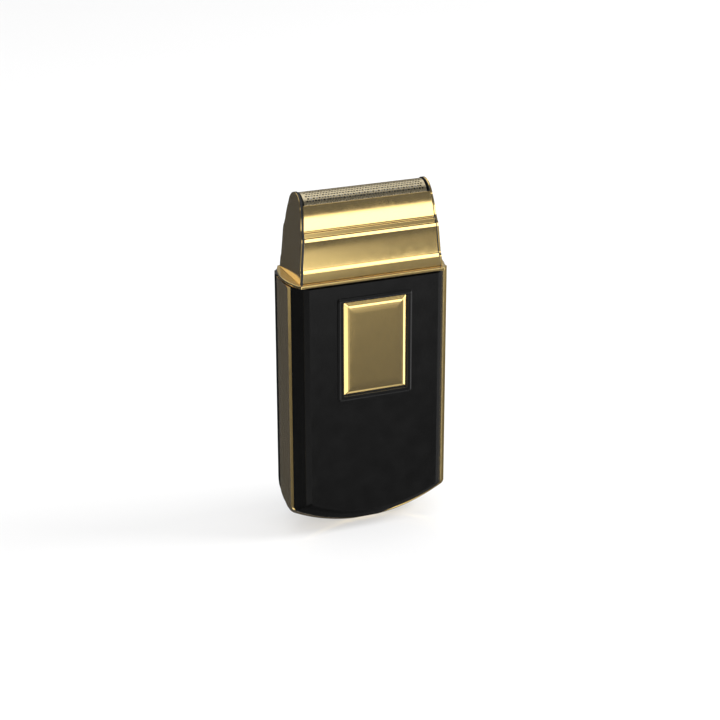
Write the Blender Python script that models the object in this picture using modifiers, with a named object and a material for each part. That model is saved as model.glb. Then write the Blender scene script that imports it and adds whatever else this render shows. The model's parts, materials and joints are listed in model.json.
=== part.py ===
"""Pocket foil shaver: a black two-shell body with a gold band, a slide switch and a lift-off head.

Metres, +Z up. The origin is on the surface that the shaver stands on, under its middle.
-Y is the front with the switch, +X is the user's right hand side.
"""

from math import asin, atan2, cos, hypot, pi, radians, sin, sqrt

import bmesh
import bpy
from mathutils import Vector

MM = 0.001

# Driving dimensions
HEIGHT = 110 * MM
BODY_HALF_WIDTH = 26.15 * MM
BODY_TOP = 82.6 * MM
FACE_Y = -11.2 * MM
BACK_Y = 12.0 * MM
BAND_FRONT = -6.05 * MM
BAND_REAR = 4.7 * MM
BOTTOM_ARC = 53.5 * MM
FOOT_DROP = 0.35 * MM
WALL = 1.5 * MM
GAP = 0.3 * MM
PAST = 1.0 * MM
INTO = 0.2 * MM
COLLAR_THICKNESS = 1.0 * MM
HEAD_END_BOTTOM = 22.4 * MM
HEAD_END_LEAN = 0.081
CUTTER_THROW = 1.2 * MM
CUTTER_PRESS = 1.2 * MM
SIDES = ((-1, "left"), (1, "right"))
ACROSS = (pi / 2, 0, pi / 2)
MERGE = 0.01 * MM

# Heights and depths that several pieces share
COLLAR_BOTTOM = BODY_TOP + GAP
COLLAR_TOP = COLLAR_BOTTOM + COLLAR_THICKNESS
HEAD_BOTTOM = COLLAR_TOP + GAP
FOIL_TOP = HEIGHT - 0.3 * MM
FOIL_LINE = 107.0 * MM
FOIL_RADIUS = 4.85 * MM
FOIL_THICKNESS = 0.3 * MM
FOIL_CENTRE = FOIL_TOP - FOIL_RADIUS
BATTERY_Y = 2.8 * MM

COLOURS = {
    "black_gloss": ((0.012, 0.012, 0.012), 0.22, 0.0),
    "black_matte": ((0.02, 0.02, 0.02), 0.55, 0.0),
    "gold": ((0.78, 0.57, 0.25), 0.22, 1.0),
    "foil": ((0.62, 0.52, 0.33), 0.3, 1.0),
    "steel": ((0.6, 0.6, 0.6), 0.3, 1.0),
    "brass": ((0.8, 0.6, 0.3), 0.35, 1.0),
    "board_green": ((0.02, 0.13, 0.05), 0.5, 0.0),
    "cell_blue": ((0.03, 0.12, 0.4), 0.4, 0.0),
    "lead_red": ((0.5, 0.02, 0.02), 0.5, 0.0),
    "lead_black": ((0.015, 0.015, 0.015), 0.5, 0.0),
    "white_plastic": ((0.75, 0.75, 0.72), 0.45, 0.0),
    "seal_grey": ((0.08, 0.08, 0.08), 0.8, 0.0),
}


# Scene and helpers

def clear_scene():
    for old in list(bpy.data.objects):
        bpy.data.objects.remove(old, do_unlink=True)


def new_collection(name):
    collection = bpy.data.collections.new(name)
    bpy.context.scene.collection.children.link(collection)
    return collection


clear_scene()
PARTS = new_collection("foil_shaver")
CUTTERS = new_collection("cutters")


def material(name):
    colour, roughness, metallic = COLOURS[name]
    found = bpy.data.materials.get(name)
    if found:
        return found
    made = bpy.data.materials.new(name)
    made.use_nodes = True
    shader = made.node_tree.nodes["Principled BSDF"]
    shader.inputs["Base Color"].default_value = (*colour, 1.0)
    shader.inputs["Roughness"].default_value = roughness
    shader.inputs["Metallic"].default_value = metallic
    made.diffuse_color = (*colour, 1.0)
    return made


def own_material(name, finish):
    """A sub-part's own copy of a finish, named for the sub-part."""
    made = material(finish).copy()
    made.name = name
    return made


def add_object(name, mesh, finish):
    """Puts a mesh in the shaver's collection, or in the cutters' when it has no finish."""
    obj = bpy.data.objects.new(name, mesh)
    if finish is None:
        CUTTERS.objects.link(obj)
        obj.hide_render = True
        obj.display_type = "WIRE"
    else:
        PARTS.objects.link(obj)
        mesh.materials.append(own_material(name, finish))
    return obj


def mesh_from(bm, name, smooth_angle=30):
    bmesh.ops.remove_doubles(bm, verts=bm.verts, dist=MERGE / 10)
    bmesh.ops.recalc_face_normals(bm, faces=bm.faces)
    mesh = bpy.data.meshes.new(name)
    bm.to_mesh(mesh)
    bm.free()
    mesh.shade_smooth()
    mesh.set_sharp_from_angle(angle=radians(smooth_angle))
    return mesh


def box(name, size, centre, finish=None, bevel=0.0):
    bm = bmesh.new()
    bmesh.ops.create_cube(bm, size=1.0)
    bmesh.ops.scale(bm, vec=size, verts=bm.verts)
    obj = add_object(name, mesh_from(bm, name), finish)
    obj.location = centre
    if bevel:
        add_bevel(obj, bevel)
    return obj


def span_box(name, low, high, finish=None, bevel=0.0):
    """A box between two corners."""
    low, high = Vector(low), Vector(high)
    return box(name, high - low, (low + high) / 2, finish, bevel)


def rod(name, radius, bottom, top, finish=None, x=0.0, y=0.0, sides=24):
    """An upright cylinder between two heights."""
    bm = bmesh.new()
    bmesh.ops.create_cone(bm, cap_ends=True, segments=sides, radius1=radius, radius2=radius,
                          depth=top - bottom)
    obj = add_object(name, mesh_from(bm, name), finish)
    obj.location = (x, y, (bottom + top) / 2)
    return obj


def rod_y(name, radius, front, back, finish=None, x=0.0, z=0.0, sides=16):
    """A cylinder along Y between two depths."""
    obj = rod(name, radius, 0.0, back - front, finish, sides=sides)
    obj.rotation_euler = (pi / 2, 0, 0)
    obj.location = (x, (front + back) / 2, z)
    return obj


def add_bevel(obj, width, segments=2, angle=35):
    bevel = obj.modifiers.new("Bevel", "BEVEL")
    bevel.width = width
    bevel.segments = segments
    bevel.limit_method = "ANGLE"
    bevel.angle_limit = radians(angle)
    return bevel


def boolean(obj, other, operation):
    modifier = obj.modifiers.new(operation.title(), "BOOLEAN")
    modifier.operation = operation
    modifier.object = other
    modifier.solver = "EXACT"
    return modifier


def cut(obj, *cutters):
    for cutter in cutters:
        boolean(obj, cutter, "DIFFERENCE")


def join(obj, *others):
    for other in others:
        boolean(obj, other, "UNION")


def merged_cutter(name, pieces):
    """Puts separate cutters into one object, so that they cut in one step."""
    bm = bmesh.new()
    graph = bpy.context.evaluated_depsgraph_get()
    for piece in pieces:
        mesh = bpy.data.meshes.new_from_object(piece.evaluated_get(graph))
        mesh.transform(piece.matrix_world)
        bm.from_mesh(mesh)
        bpy.data.meshes.remove(mesh)
    for piece in pieces:
        bpy.data.objects.remove(piece, do_unlink=True)
    return add_object(name, mesh_from(bm, name), None)


def flat_outline(name, points, thickness, finish=None):
    """A flat solid from an outline in its own XY plane, centred on its thickness."""
    curve = bpy.data.curves.new(name, "CURVE")
    curve.dimensions = "2D"
    curve.fill_mode = "BOTH"
    curve.extrude = thickness / 2
    spline = curve.splines.new("POLY")
    spline.points.add(len(points) - 1)
    for point, (x, y) in zip(spline.points, points):
        point.co = (x, y, 0, 1)
    spline.use_cyclic_u = True
    guide = bpy.data.objects.new(name + "_outline", curve)
    CUTTERS.objects.link(guide)
    graph = bpy.context.evaluated_depsgraph_get()
    mesh = bpy.data.meshes.new_from_object(guide.evaluated_get(graph))
    bpy.data.objects.remove(guide, do_unlink=True)
    bm = bmesh.new()
    bm.from_mesh(mesh)
    bpy.data.meshes.remove(mesh)
    bmesh.ops.dissolve_limit(bm, angle_limit=radians(0.5), verts=bm.verts, edges=bm.edges)
    return add_object(name, mesh_from(bm, name), finish)


def tube(name, points, radius, finish, resolution=2):
    """A round wire through the points given."""
    curve = bpy.data.curves.new(name, "CURVE")
    curve.dimensions = "3D"
    curve.bevel_depth = radius
    curve.bevel_resolution = resolution
    curve.use_fill_caps = True
    spline = curve.splines.new("POLY")
    spline.points.add(len(points) - 1)
    for point, place in zip(spline.points, points):
        point.co = (*place, 1)
    obj = bpy.data.objects.new(name, curve)
    PARTS.objects.link(obj)
    curve.materials.append(own_material(name, finish))
    return obj


def wire(name, points, radius, finish):
    """A lead: a smooth tube through the points given."""
    return tube(name, smoothed(points, 5), radius, finish)


def smoothed(points, steps):
    """Points along a Catmull-Rom curve through the given ones."""
    points = [Vector(p) for p in points]
    padded = [2 * points[0] - points[1], *points, 2 * points[-1] - points[-2]]
    result = []
    for a, b, c, d in zip(padded, padded[1:], padded[2:], padded[3:]):
        for i in range(steps):
            t = i / steps
            result.append(0.5 * (2 * b + (c - a) * t + (2 * a - 5 * b + 4 * c - d) * t ** 2
                                 + (3 * b - a - 3 * c + d) * t ** 3))
    result.append(points[-1])
    return result


def arc_points(centre, radius, start, end, steps):
    """Points on an arc, angles in radians, both ends included."""
    return [(centre[0] + radius * cos(start + (end - start) * i / steps),
             centre[1] + radius * sin(start + (end - start) * i / steps))
            for i in range(steps + 1)]


def bowed(start, end, sagitta, steps):
    """Points between two ends along an arc that bows to the left of the way from start to end."""
    (x0, y0), (x1, y1) = start, end
    chord = hypot(x1 - x0, y1 - y0)
    along, normal = ((x1 - x0) / chord, (y1 - y0) / chord), (-(y1 - y0) / chord, (x1 - x0) / chord)
    radius = (chord ** 2 / 4 + sagitta ** 2) / (2 * abs(sagitta))
    points = []
    for i in range(steps + 1):
        u = chord * (i / steps - 0.5)
        rise = sqrt(radius ** 2 - u ** 2) - (radius - abs(sagitta))
        rise = rise if sagitta > 0 else -rise
        points.append((x0 + along[0] * (u + chord / 2) + normal[0] * rise,
                       y0 + along[1] * (u + chord / 2) + normal[1] * rise))
    return points


def mirrored(points):
    """An outline's left half, top to bottom or front to back, completed by its mirror image."""
    return points + [(-x, y) for x, y in reversed(points)]


def ring_faces(bm, first, second):
    for i in range(len(first) - 1):
        bm.faces.new((first[i], first[i + 1], second[i + 1], second[i]))


# The body's outline: straight sides, round corners and a bottom arc. A section is a list of
# steps (side, bottom, corner, y) in mm: how far the sides and the bottom are set in at depth y,
# and the radius of the corners there.

CORNER_STEPS = 5
ARC_STEPS = 18
SMALLEST_CORNER = 0.8


def u_outline(side, bottom, corner, top):
    """Points (x, z) from the left top, round the bottom, to the right top."""
    half = BODY_HALF_WIDTH - side * MM
    radius = BOTTOM_ARC - bottom * MM
    centre_z = BOTTOM_ARC - FOOT_DROP
    corner = corner * MM
    corner_x = half - corner
    corner_z = centre_z - sqrt((radius - corner) ** 2 - corner_x ** 2)
    reach = atan2(corner_x, centre_z - corner_z)
    left = [(-half, top)]
    left += arc_points((-corner_x, corner_z), corner, pi, 1.5 * pi - reach, CORNER_STEPS)
    arc = arc_points((0, centre_z), radius, 1.5 * pi - reach, 1.5 * pi + reach, ARC_STEPS)
    right = [(-x, z) for x, z in reversed(left)]
    return [(x, max(z, 0.0)) for x, z in left + arc[1:-1] + right]


def outline_solid(name, section, top, finish=None, loop=False):
    """A solid with the body's outline at each step of a section.

    A loop is a section that closes on itself and leaves the middle open, as in the band.
    """
    bm = bmesh.new()
    rings = [[bm.verts.new((x, y * MM, z)) for x, z in u_outline(side, bottom, corner, top)]
             for side, bottom, corner, y in section]
    for first, second in zip(rings, rings[1:]):
        ring_faces(bm, first, second)
    if loop:
        ring_faces(bm, rings[-1], rings[0])
        bm.faces.new([ring[0] for ring in rings])
        bm.faces.new([ring[-1] for ring in rings])
    else:
        bm.faces.new(rings[0])
        bm.faces.new(rings[-1])
        bm.faces.new([ring[0] for ring in rings] + [ring[-1] for ring in reversed(rings)])
    return add_object(name, mesh_from(bm, name, 20), finish)


def hollow_of(section, overrun):
    """A shell's inside: its section set in by the wall, and run out past the open edge."""
    wall = WALL / MM
    toward = 1 if section[-1][3] > 0 else -1
    floor = section[-1][3] - toward * wall
    inner = [(side + wall, bottom + wall, max(corner - wall, SMALLEST_CORNER), y)
             for side, bottom, corner, y in section]
    start = (*inner[0][:3], inner[0][3] - toward * overrun)
    walls = [step for step in inner if abs(step[3]) < abs(floor) - FLOOR_MARGIN]
    return [start, *walls, (*inner[-1][:3], floor)]


# Body: band, shells, collar

BAND_SECTION = [(0.55, 2.3, 1.0, BAND_FRONT / MM), (0.08, 1.85, 1.5, -5.75), (0.0, 0.9, 2.6, -4.3),
                (0.0, 0.0, 4.0, -3.0), (0.0, 0.0, 7.0, 3.2), (0.15, 0.4, 8.0, 4.2),
                (0.55, 0.8, 8.4, BAND_REAR / MM), (3.0, 3.6, 6.0, BAND_REAR / MM),
                (3.0, 4.4, 1.0, BAND_FRONT / MM)]
FRONT_SECTION = [(0.95, 2.5, 1.0, (BAND_FRONT - GAP) / MM), (3.7, 4.9, 1.0, -9.7),
                 (5.05, 6.7, 1.0, FACE_Y / MM)]
REAR_SECTION = [(0.75, 1.3, 8.2, (BAND_REAR + GAP) / MM), (0.85, 1.4, 8.2, 8.2),
                (1.35, 2.0, 7.8, 9.7), (2.55, 3.2, 7.0, 10.9), (4.95, 5.6, 5.0, 11.6),
                (9.75, 10.4, 3.0, BACK_Y / MM)]
FLOOR_MARGIN = 0.2
OVERRUN = 2.0
PORT_HALF = (4.2 * MM, 1.8 * MM)
PORT_REACH = 6 * MM
SCREW_PLACES = [(side * 18.4 * MM, z) for side in (-1, 1) for z in (15.5 * MM, 74.5 * MM)]
SCREW_RADIUS = 1.0 * MM
SCREW_TIP = -4.6 * MM
SCREW_HEAD_RADIUS = 1.6 * MM
BOSS_RADIUS = 2.3 * MM
BOSS_MEET = 0.15 * MM
BOSS_INTO_WALL = 0.7 * MM
PILOT_END = -5.5 * MM
COUNTERBORE_RADIUS = 1.9 * MM
COUNTERBORE_FLOOR = 7.6 * MM
SLOT_HALF_WIDTH = 1.9 * MM
SLOT_Z = (50.6 * MM, 58.9 * MM)


def make_band():
    band = outline_solid("side_band", BAND_SECTION, BODY_TOP, "gold", loop=True)
    half_x, half_y = PORT_HALF
    port = span_box("port_cutter", (-half_x, -half_y, -PAST), (half_x, half_y, PORT_REACH))
    cut(band, port)


def make_front_shell():
    shell = outline_solid("front_shell", FRONT_SECTION, BODY_TOP, "black_gloss")
    hollow = outline_solid("front_hollow", hollow_of(FRONT_SECTION, OVERRUN), BODY_TOP + PAST)
    cut(shell, hollow)
    for i, (x, z) in enumerate(SCREW_PLACES):
        join(shell, rod_y(f"front_boss_{i}", BOSS_RADIUS, FACE_Y + BOSS_INTO_WALL, -BOSS_MEET,
                          x=x, z=z))
    for i, (x, z) in enumerate(SCREW_PLACES):
        cut(shell, rod_y(f"front_pilot_{i}", SCREW_RADIUS + GAP / 2, PILOT_END, PAST, x=x, z=z))
    cut(shell, span_box("switch_slot_cutter", (-SLOT_HALF_WIDTH, FACE_Y - PAST, SLOT_Z[0]),
                        (SLOT_HALF_WIDTH, FACE_Y + 2 * WALL, SLOT_Z[1])))


def make_rear_shell():
    shell = outline_solid("rear_shell", REAR_SECTION, BODY_TOP, "black_gloss")
    hollow = outline_solid("rear_hollow", hollow_of(REAR_SECTION, OVERRUN), BODY_TOP + PAST)
    cut(shell, hollow)
    for i, (x, z) in enumerate(SCREW_PLACES):
        join(shell, rod_y(f"rear_boss_{i}", BOSS_RADIUS, BOSS_MEET, BACK_Y - WALL, x=x, z=z))
    for i, (x, z) in enumerate(SCREW_PLACES):
        through = rod_y(f"rear_through_{i}", SCREW_RADIUS + GAP, -PAST, BACK_Y + PAST, x=x, z=z)
        bore = rod_y(f"rear_counterbore_{i}", COUNTERBORE_RADIUS, COUNTERBORE_FLOOR, BACK_Y + PAST,
                     x=x, z=z)
        cut(shell, through, bore)


def make_case_screws():
    seat = COUNTERBORE_FLOOR + GAP
    for i, (x, z) in enumerate(SCREW_PLACES):
        shank = rod_y(f"case_screw_{i + 1}", SCREW_RADIUS, SCREW_TIP, seat + INTO, "steel", x=x, z=z,
                      sides=12)
        join(shank, rod_y(f"case_screw_head_{i}", SCREW_HEAD_RADIUS, seat, seat + 1.2 * MM, x=x, z=z))
        cut(shank, rod_y(f"case_screw_recess_{i}", SCREW_HEAD_RADIUS / 2, seat + 0.7 * MM,
                         seat + 1.2 * MM + PAST, x=x, z=z, sides=6))


COLLAR_HALF_WIDTH = 25.7 * MM
COLLAR_HALF_DEPTH = 10.6 * MM
COLLAR_END_SAGITTA = 2.6 * MM
COLLAR_HOLE = 4.9 * MM
COLLAR_EDGE = 0.25 * MM
SEAT_SCREWS = [(x * 13.5 * MM, y * 5.0 * MM) for x in (-1, 1) for y in (-1, 1)]
SEAT_SCREW_CLEARANCE = 1.0 * MM


def make_collar():
    corner_x = COLLAR_HALF_WIDTH - COLLAR_END_SAGITTA
    left = bowed((-corner_x, COLLAR_HALF_DEPTH), (-corner_x, -COLLAR_HALF_DEPTH),
                 -COLLAR_END_SAGITTA, 12)
    collar = flat_outline("top_collar", mirrored(left), COLLAR_THICKNESS, "gold")
    collar.location = (0, 0, (COLLAR_BOTTOM + COLLAR_TOP) / 2)
    add_bevel(collar, COLLAR_EDGE, angle=50)
    bore(collar, COLLAR_HOLE, (COLLAR_BOTTOM, COLLAR_TOP), sides=32)
    bore_seat_screws(collar, (COLLAR_BOTTOM, COLLAR_TOP))


def bore(obj, radius, span, x=0.0, y=0.0, sides=12):
    """An upright hole right through a piece that spans the heights given."""
    cut(obj, rod(f"{obj.name}_bore_{len(obj.modifiers)}", radius, span[0] - PAST, span[1] + PAST,
                 x=x, y=y, sides=sides))


def bore_seat_screws(obj, span):
    for x, y in SEAT_SCREWS:
        bore(obj, SEAT_SCREW_CLEARANCE, span, x, y)


# Slide switch on the front

SWITCH_Z = (45.0 * MM, 78.5 * MM)
SWITCH_HALF_WIDTH = 12.2 * MM
SWITCH_BACK = FACE_Y - GAP
SWITCH_FRONT = SWITCH_BACK - 0.65 * MM
SWITCH_SLOPE = 0.5 * MM
PLATE_Z = (47.0 * MM, 77.2 * MM)
PLATE_HALF_WIDTH = 10.3 * MM
PLATE_BACK = SWITCH_FRONT + 0.3 * MM
PLATE_BEVEL = 0.25 * MM
PLATE_CLEARANCE = 0.25 * MM
SLIDER_LOW = (-5.0 * MM, -9.1 * MM, 47.5 * MM)
SLIDER_HIGH = (5.0 * MM, -8.5 * MM, 61.0 * MM)
PEG_HALF_WIDTH = 1.5 * MM
PEG_Z = (51.0 * MM, 55.0 * MM)
KNOB_LOW = (-1.0 * MM, -8.9 * MM, 48.8 * MM)
KNOB_HIGH = (1.0 * MM, -6.7 * MM, 50.2 * MM)


def make_switch():
    frame = span_box("switch_frame", (-SWITCH_HALF_WIDTH, SWITCH_FRONT, SWITCH_Z[0]),
                     (SWITCH_HALF_WIDTH, SWITCH_BACK, SWITCH_Z[1]), "black_gloss")
    half, clear = PLATE_HALF_WIDTH + PLATE_CLEARANCE, PLATE_CLEARANCE
    recess = span_box("plate_recess_cutter", (-half, SWITCH_FRONT - PAST, PLATE_Z[0] - clear),
                      (half, PLATE_BACK + BOSS_MEET, PLATE_Z[1] + clear))
    bevel_front(frame, SWITCH_SLOPE)
    cut(frame, recess)

    plate = span_box("switch_plate", (-PLATE_HALF_WIDTH, SWITCH_FRONT, PLATE_Z[0]),
                     (PLATE_HALF_WIDTH, PLATE_BACK, PLATE_Z[1]), "gold")
    bevel_front(plate, PLATE_BEVEL)


def bevel_front(obj, width):
    """Slopes the edges round a box's front face."""
    mesh = obj.data
    weights = mesh.attributes.new("bevel_weight_edge", "FLOAT", "EDGE")
    front = min(v.co.y for v in mesh.vertices)
    for edge in mesh.edges:
        ends = [mesh.vertices[i].co.y for i in edge.vertices]
        weights.data[edge.index].value = 1.0 if max(ends) - front < MERGE else 0.0
    add_bevel(obj, width, segments=1).limit_method = "WEIGHT"


def make_slider():
    slider = span_box("switch_slider", SLIDER_LOW, SLIDER_HIGH, "black_matte")
    join(slider, span_box("slider_peg", (-PEG_HALF_WIDTH, SWITCH_BACK + BOSS_MEET, PEG_Z[0]),
                          (PEG_HALF_WIDTH, SLIDER_HIGH[1] - INTO / 2, PEG_Z[1])))
    window_low = Vector(KNOB_LOW) - Vector((GAP, PAST, GAP))
    window_high = Vector(KNOB_HIGH) + Vector((GAP, PAST, GAP))
    cut(slider, span_box("knob_window_cutter", window_low, window_high))
    span_box("switch_knob", KNOB_LOW, KNOB_HIGH, "black_matte")


# Electrics: boards, switch, cell, socket, leads

BOARD_LOW = (-9.5 * MM, -5.9 * MM, 18.0 * MM)
BOARD_HIGH = (9.5 * MM, -5.1 * MM, 56.0 * MM)
BOARD_HOLES = ((-7.6 * MM, 20.5 * MM), (7.6 * MM, 20.5 * MM))
BOARD_HOLE_RADIUS = 1.1 * MM
SWITCH_BODY_LOW = (-4.5 * MM, -7.7 * MM, 46.5 * MM)
SWITCH_BODY_HIGH = (4.5 * MM, -6.05 * MM, 56.0 * MM)
SWITCH_BODY_SLOT = ((-1.3 * MM, -8.5 * MM, 48.4 * MM), (1.3 * MM, -6.4 * MM, 54.2 * MM))
CHARGE_BOARD_LOW = (-7.0 * MM, -4.0 * MM, 6.6 * MM)
CHARGE_BOARD_HIGH = (7.0 * MM, 4.0 * MM, 7.4 * MM)
SOCKET_HALF = (3.75 * MM, 1.35 * MM)
SOCKET_Z = (1.0 * MM, 6.45 * MM)
SOCKET_WALL = 0.35 * MM
SOCKET_FLOOR = 5.6 * MM
TONGUE_HALF = (2.6 * MM, 0.3 * MM)
TONGUE_BOTTOM = 1.8 * MM


def make_boards():
    board = span_box("circuit_board", BOARD_LOW, BOARD_HIGH, "board_green")
    for i, (x, z) in enumerate(BOARD_HOLES):
        cut(board, rod_y(f"board_hole_{i}", BOARD_HOLE_RADIUS, BOARD_LOW[1] - PAST,
                         BOARD_HIGH[1] + PAST, x=x, z=z, sides=12))
    switch = span_box("switch_body", SWITCH_BODY_LOW, SWITCH_BODY_HIGH, "steel", bevel=0.2 * MM)
    cut(switch, span_box("switch_body_slot_cutter", *SWITCH_BODY_SLOT))


def make_charging():
    span_box("charge_board", CHARGE_BOARD_LOW, CHARGE_BOARD_HIGH, "board_green")
    half_x, half_y = SOCKET_HALF
    socket = span_box("charge_socket", (-half_x, -half_y, SOCKET_Z[0]), (half_x, half_y, SOCKET_Z[1]),
                      "steel")
    mouth_x, mouth_y = half_x - SOCKET_WALL, half_y - SOCKET_WALL
    cut(socket, span_box("socket_mouth_cutter", (-mouth_x, -mouth_y, SOCKET_Z[0] - PAST),
                         (mouth_x, mouth_y, SOCKET_FLOOR)))
    tongue_x, tongue_y = TONGUE_HALF
    join(socket, span_box("socket_tongue", (-tongue_x, -tongue_y, TONGUE_BOTTOM),
                          (tongue_x, tongue_y, SOCKET_FLOOR + 2 * INTO)))


CELL_RADIUS = 7.0 * MM
CELL_Z = (11.0 * MM, 52.0 * MM)
CELL_BUTTON_RADIUS = 2.6 * MM
CELL_BUTTON_RISE = 0.8 * MM
HOLDER_LOW = (-9.0 * MM, -3.6 * MM, 8.6 * MM)
HOLDER_HIGH = (9.0 * MM, 9.2 * MM, 55.2 * MM)
HOLDER_WALL = (1.6 * MM, 1.2 * MM)
TAB_HALF_WIDTH = 3.0 * MM
TAB_FRONT = -2.8 * MM
TAB_REAR = 7.0 * MM
TAB_THICKNESS = 0.4 * MM
TAB_BOTTOMS = {"negative": 10.2 * MM, "positive": 53.1 * MM}


def make_battery():
    cell = rod("battery_cell", CELL_RADIUS, *CELL_Z, "cell_blue", y=BATTERY_Y, sides=32)
    add_bevel(cell, 0.5 * MM)
    join(cell, rod("cell_button", CELL_BUTTON_RADIUS, CELL_Z[1] - WALL,
                   CELL_Z[1] + CELL_BUTTON_RISE, y=BATTERY_Y))

    holder = span_box("battery_holder", HOLDER_LOW, HOLDER_HIGH, "black_matte")
    side, end = HOLDER_WALL
    cut(holder, span_box("holder_inside_cutter",
                         (HOLDER_LOW[0] + side, HOLDER_LOW[1] - PAST, HOLDER_LOW[2] + end),
                         (HOLDER_HIGH[0] - side, HOLDER_HIGH[1] + PAST, HOLDER_HIGH[2] - end)))
    for name, bottom in TAB_BOTTOMS.items():
        tab = span_box("battery_tab_" + name, (-TAB_HALF_WIDTH, TAB_FRONT, bottom),
                       (TAB_HALF_WIDTH, TAB_REAR, bottom + TAB_THICKNESS), "steel")
        add_bevel(tab, 0.1 * MM, segments=1)


LEAD_RADIUS = 0.45 * MM
LEAD_Y = -4.55 * MM
# Each lead's path after its start, as (x, forward of the lead's plane, height above the start)
CELL_LEAD_PATH = ((2.2, 0.35, 0.6), (2.4, 0.0, 2.5), (2.4, 0.0, 9.0))
MOTOR_LEAD_PATH = ((4.2, 0.0, -1.2), (5.0, 0.0, -3.6), (5.2, 0.0, -7.6))


def make_leads():
    """Leads from the cell's tabs and the motor's terminals to the back of the board."""
    for name, side, tab, way in (("red", 1, "positive", -1), ("black", -1, "negative", 1)):
        z = TAB_BOTTOMS[tab] + TAB_THICKNESS / 2
        path = [(side * 2.0 * MM, TAB_FRONT - GAP, z)]
        path += [(side * x * MM, LEAD_Y + y * MM, z + way * rise * MM)
                 for x, y, rise in CELL_LEAD_PATH]
        wire("cell_lead_" + name, path, LEAD_RADIUS, "lead_" + name)
    for name, side in (("red", 1), ("black", -1)):
        z = TERMINAL_BOTTOM - GAP
        path = [(side * TERMINAL_X, LEAD_Y + INTO, z)]
        path += [(side * x * MM, LEAD_Y + y * MM, z + rise * MM) for x, y, rise in MOTOR_LEAD_PATH]
        wire("motor_lead_" + name, path, LEAD_RADIUS, "lead_" + name)


# Motor and its mount

MOTOR_RADIUS = 7.5 * MM
MOTOR_Z = (60.0 * MM, 77.6 * MM)
MOTOR_BOSS_RADIUS = 3.0 * MM
MOTOR_BOSS_TOP = 79.0 * MM
MOTOR_BORE_DEPTH = 4.0 * MM
END_CAP_RADIUS = 7.1 * MM
END_CAP_BOTTOM = 58.2 * MM
MOUNT_HALF = (17.0 * MM, 7.0 * MM)
MOUNT_Z = (79.8 * MM, 81.4 * MM)
MOUNT_HOLE = 3.4 * MM
SHAFT_RADIUS = 1.0 * MM
SHAFT_CLEARANCE = 0.2 * MM
SHAFT_TOP = 84.8 * MM
MOTOR_SCREW_X = 5.2 * MM
MOTOR_SCREW_DEPTH = 2.2 * MM
THREAD_RADIUS = 0.9 * MM
SMALL_SCREW = 0.7 * MM
SCREW_SEAT = 0.15 * MM
SCREW_HEAD_HEIGHT = 0.8 * MM
TERMINAL_X = 3.6 * MM
TERMINAL_HALF_WIDTH = 0.9 * MM
TERMINAL_Y = (-4.6 * MM, -4.2 * MM)
TERMINAL_BOTTOM = 56.9 * MM
TERMINAL_HEIGHT = 1.1 * MM


def make_motor():
    can = rod("motor_can", MOTOR_RADIUS, *MOTOR_Z, "steel", sides=32)
    add_bevel(can, 0.6 * MM)
    join(can, rod("motor_boss", MOTOR_BOSS_RADIUS, MOTOR_Z[1] - PAST, MOTOR_BOSS_TOP))
    cut(can, rod("motor_bore", SHAFT_RADIUS + SHAFT_CLEARANCE, MOTOR_Z[0] + MOTOR_BORE_DEPTH,
                 MOTOR_BOSS_TOP + PAST))
    for side in (-1, 1):
        cut(can, rod(f"motor_thread_{side}", THREAD_RADIUS,
                     MOTOR_Z[1] - MOTOR_SCREW_DEPTH - SCREW_HEAD_HEIGHT, MOTOR_Z[1] + PAST,
                     x=side * MOTOR_SCREW_X, sides=12))

    cap = rod("motor_end_cap", END_CAP_RADIUS, END_CAP_BOTTOM, MOTOR_Z[0] - GAP, "white_plastic",
              sides=32)
    add_bevel(cap, GAP)
    for side, name in SIDES:
        span_box("motor_terminal_" + name,
                 (side * TERMINAL_X - TERMINAL_HALF_WIDTH, TERMINAL_Y[0], TERMINAL_BOTTOM),
                 (side * TERMINAL_X + TERMINAL_HALF_WIDTH, TERMINAL_Y[1],
                  TERMINAL_BOTTOM + TERMINAL_HEIGHT), "brass")

    rod("motor_shaft", SHAFT_RADIUS, MOTOR_Z[0] + MOTOR_BORE_DEPTH + GAP, SHAFT_TOP, "steel",
        sides=20)


def make_motor_mount():
    half_x, half_y = MOUNT_HALF
    mount = span_box("motor_mount", (-half_x, -half_y, MOUNT_Z[0]), (half_x, half_y, MOUNT_Z[1]),
                     "black_matte", bevel=GAP)
    bore(mount, MOUNT_HOLE, MOUNT_Z, sides=24)
    for side, name in SIDES:
        bore(mount, SEAT_SCREW_CLEARANCE, MOUNT_Z, x=side * MOTOR_SCREW_X)
        top_screw("motor_screw_" + name, side * MOTOR_SCREW_X, 0.0, MOTOR_Z[1] - MOTOR_SCREW_DEPTH,
                  MOUNT_Z[1] + SCREW_SEAT)
    bore_seat_screws(mount, MOUNT_Z)


def top_screw(name, x, y, tip, seat):
    """A pan-head screw that points down, with its head on the height given."""
    shank = rod(name, SMALL_SCREW, tip, seat + INTO, "steel", x=x, y=y, sides=12)
    top = seat + SCREW_HEAD_HEIGHT
    join(shank, rod(name + "_head", 2 * SMALL_SCREW, seat, top, x=x, y=y, sides=16))
    cut(shank, rod(name + "_recess", 0.6 * SMALL_SCREW, (seat + top) / 2, top + PAST, x=x, y=y,
                   sides=6))


# Drive: eccentric, seat, bridge

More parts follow.
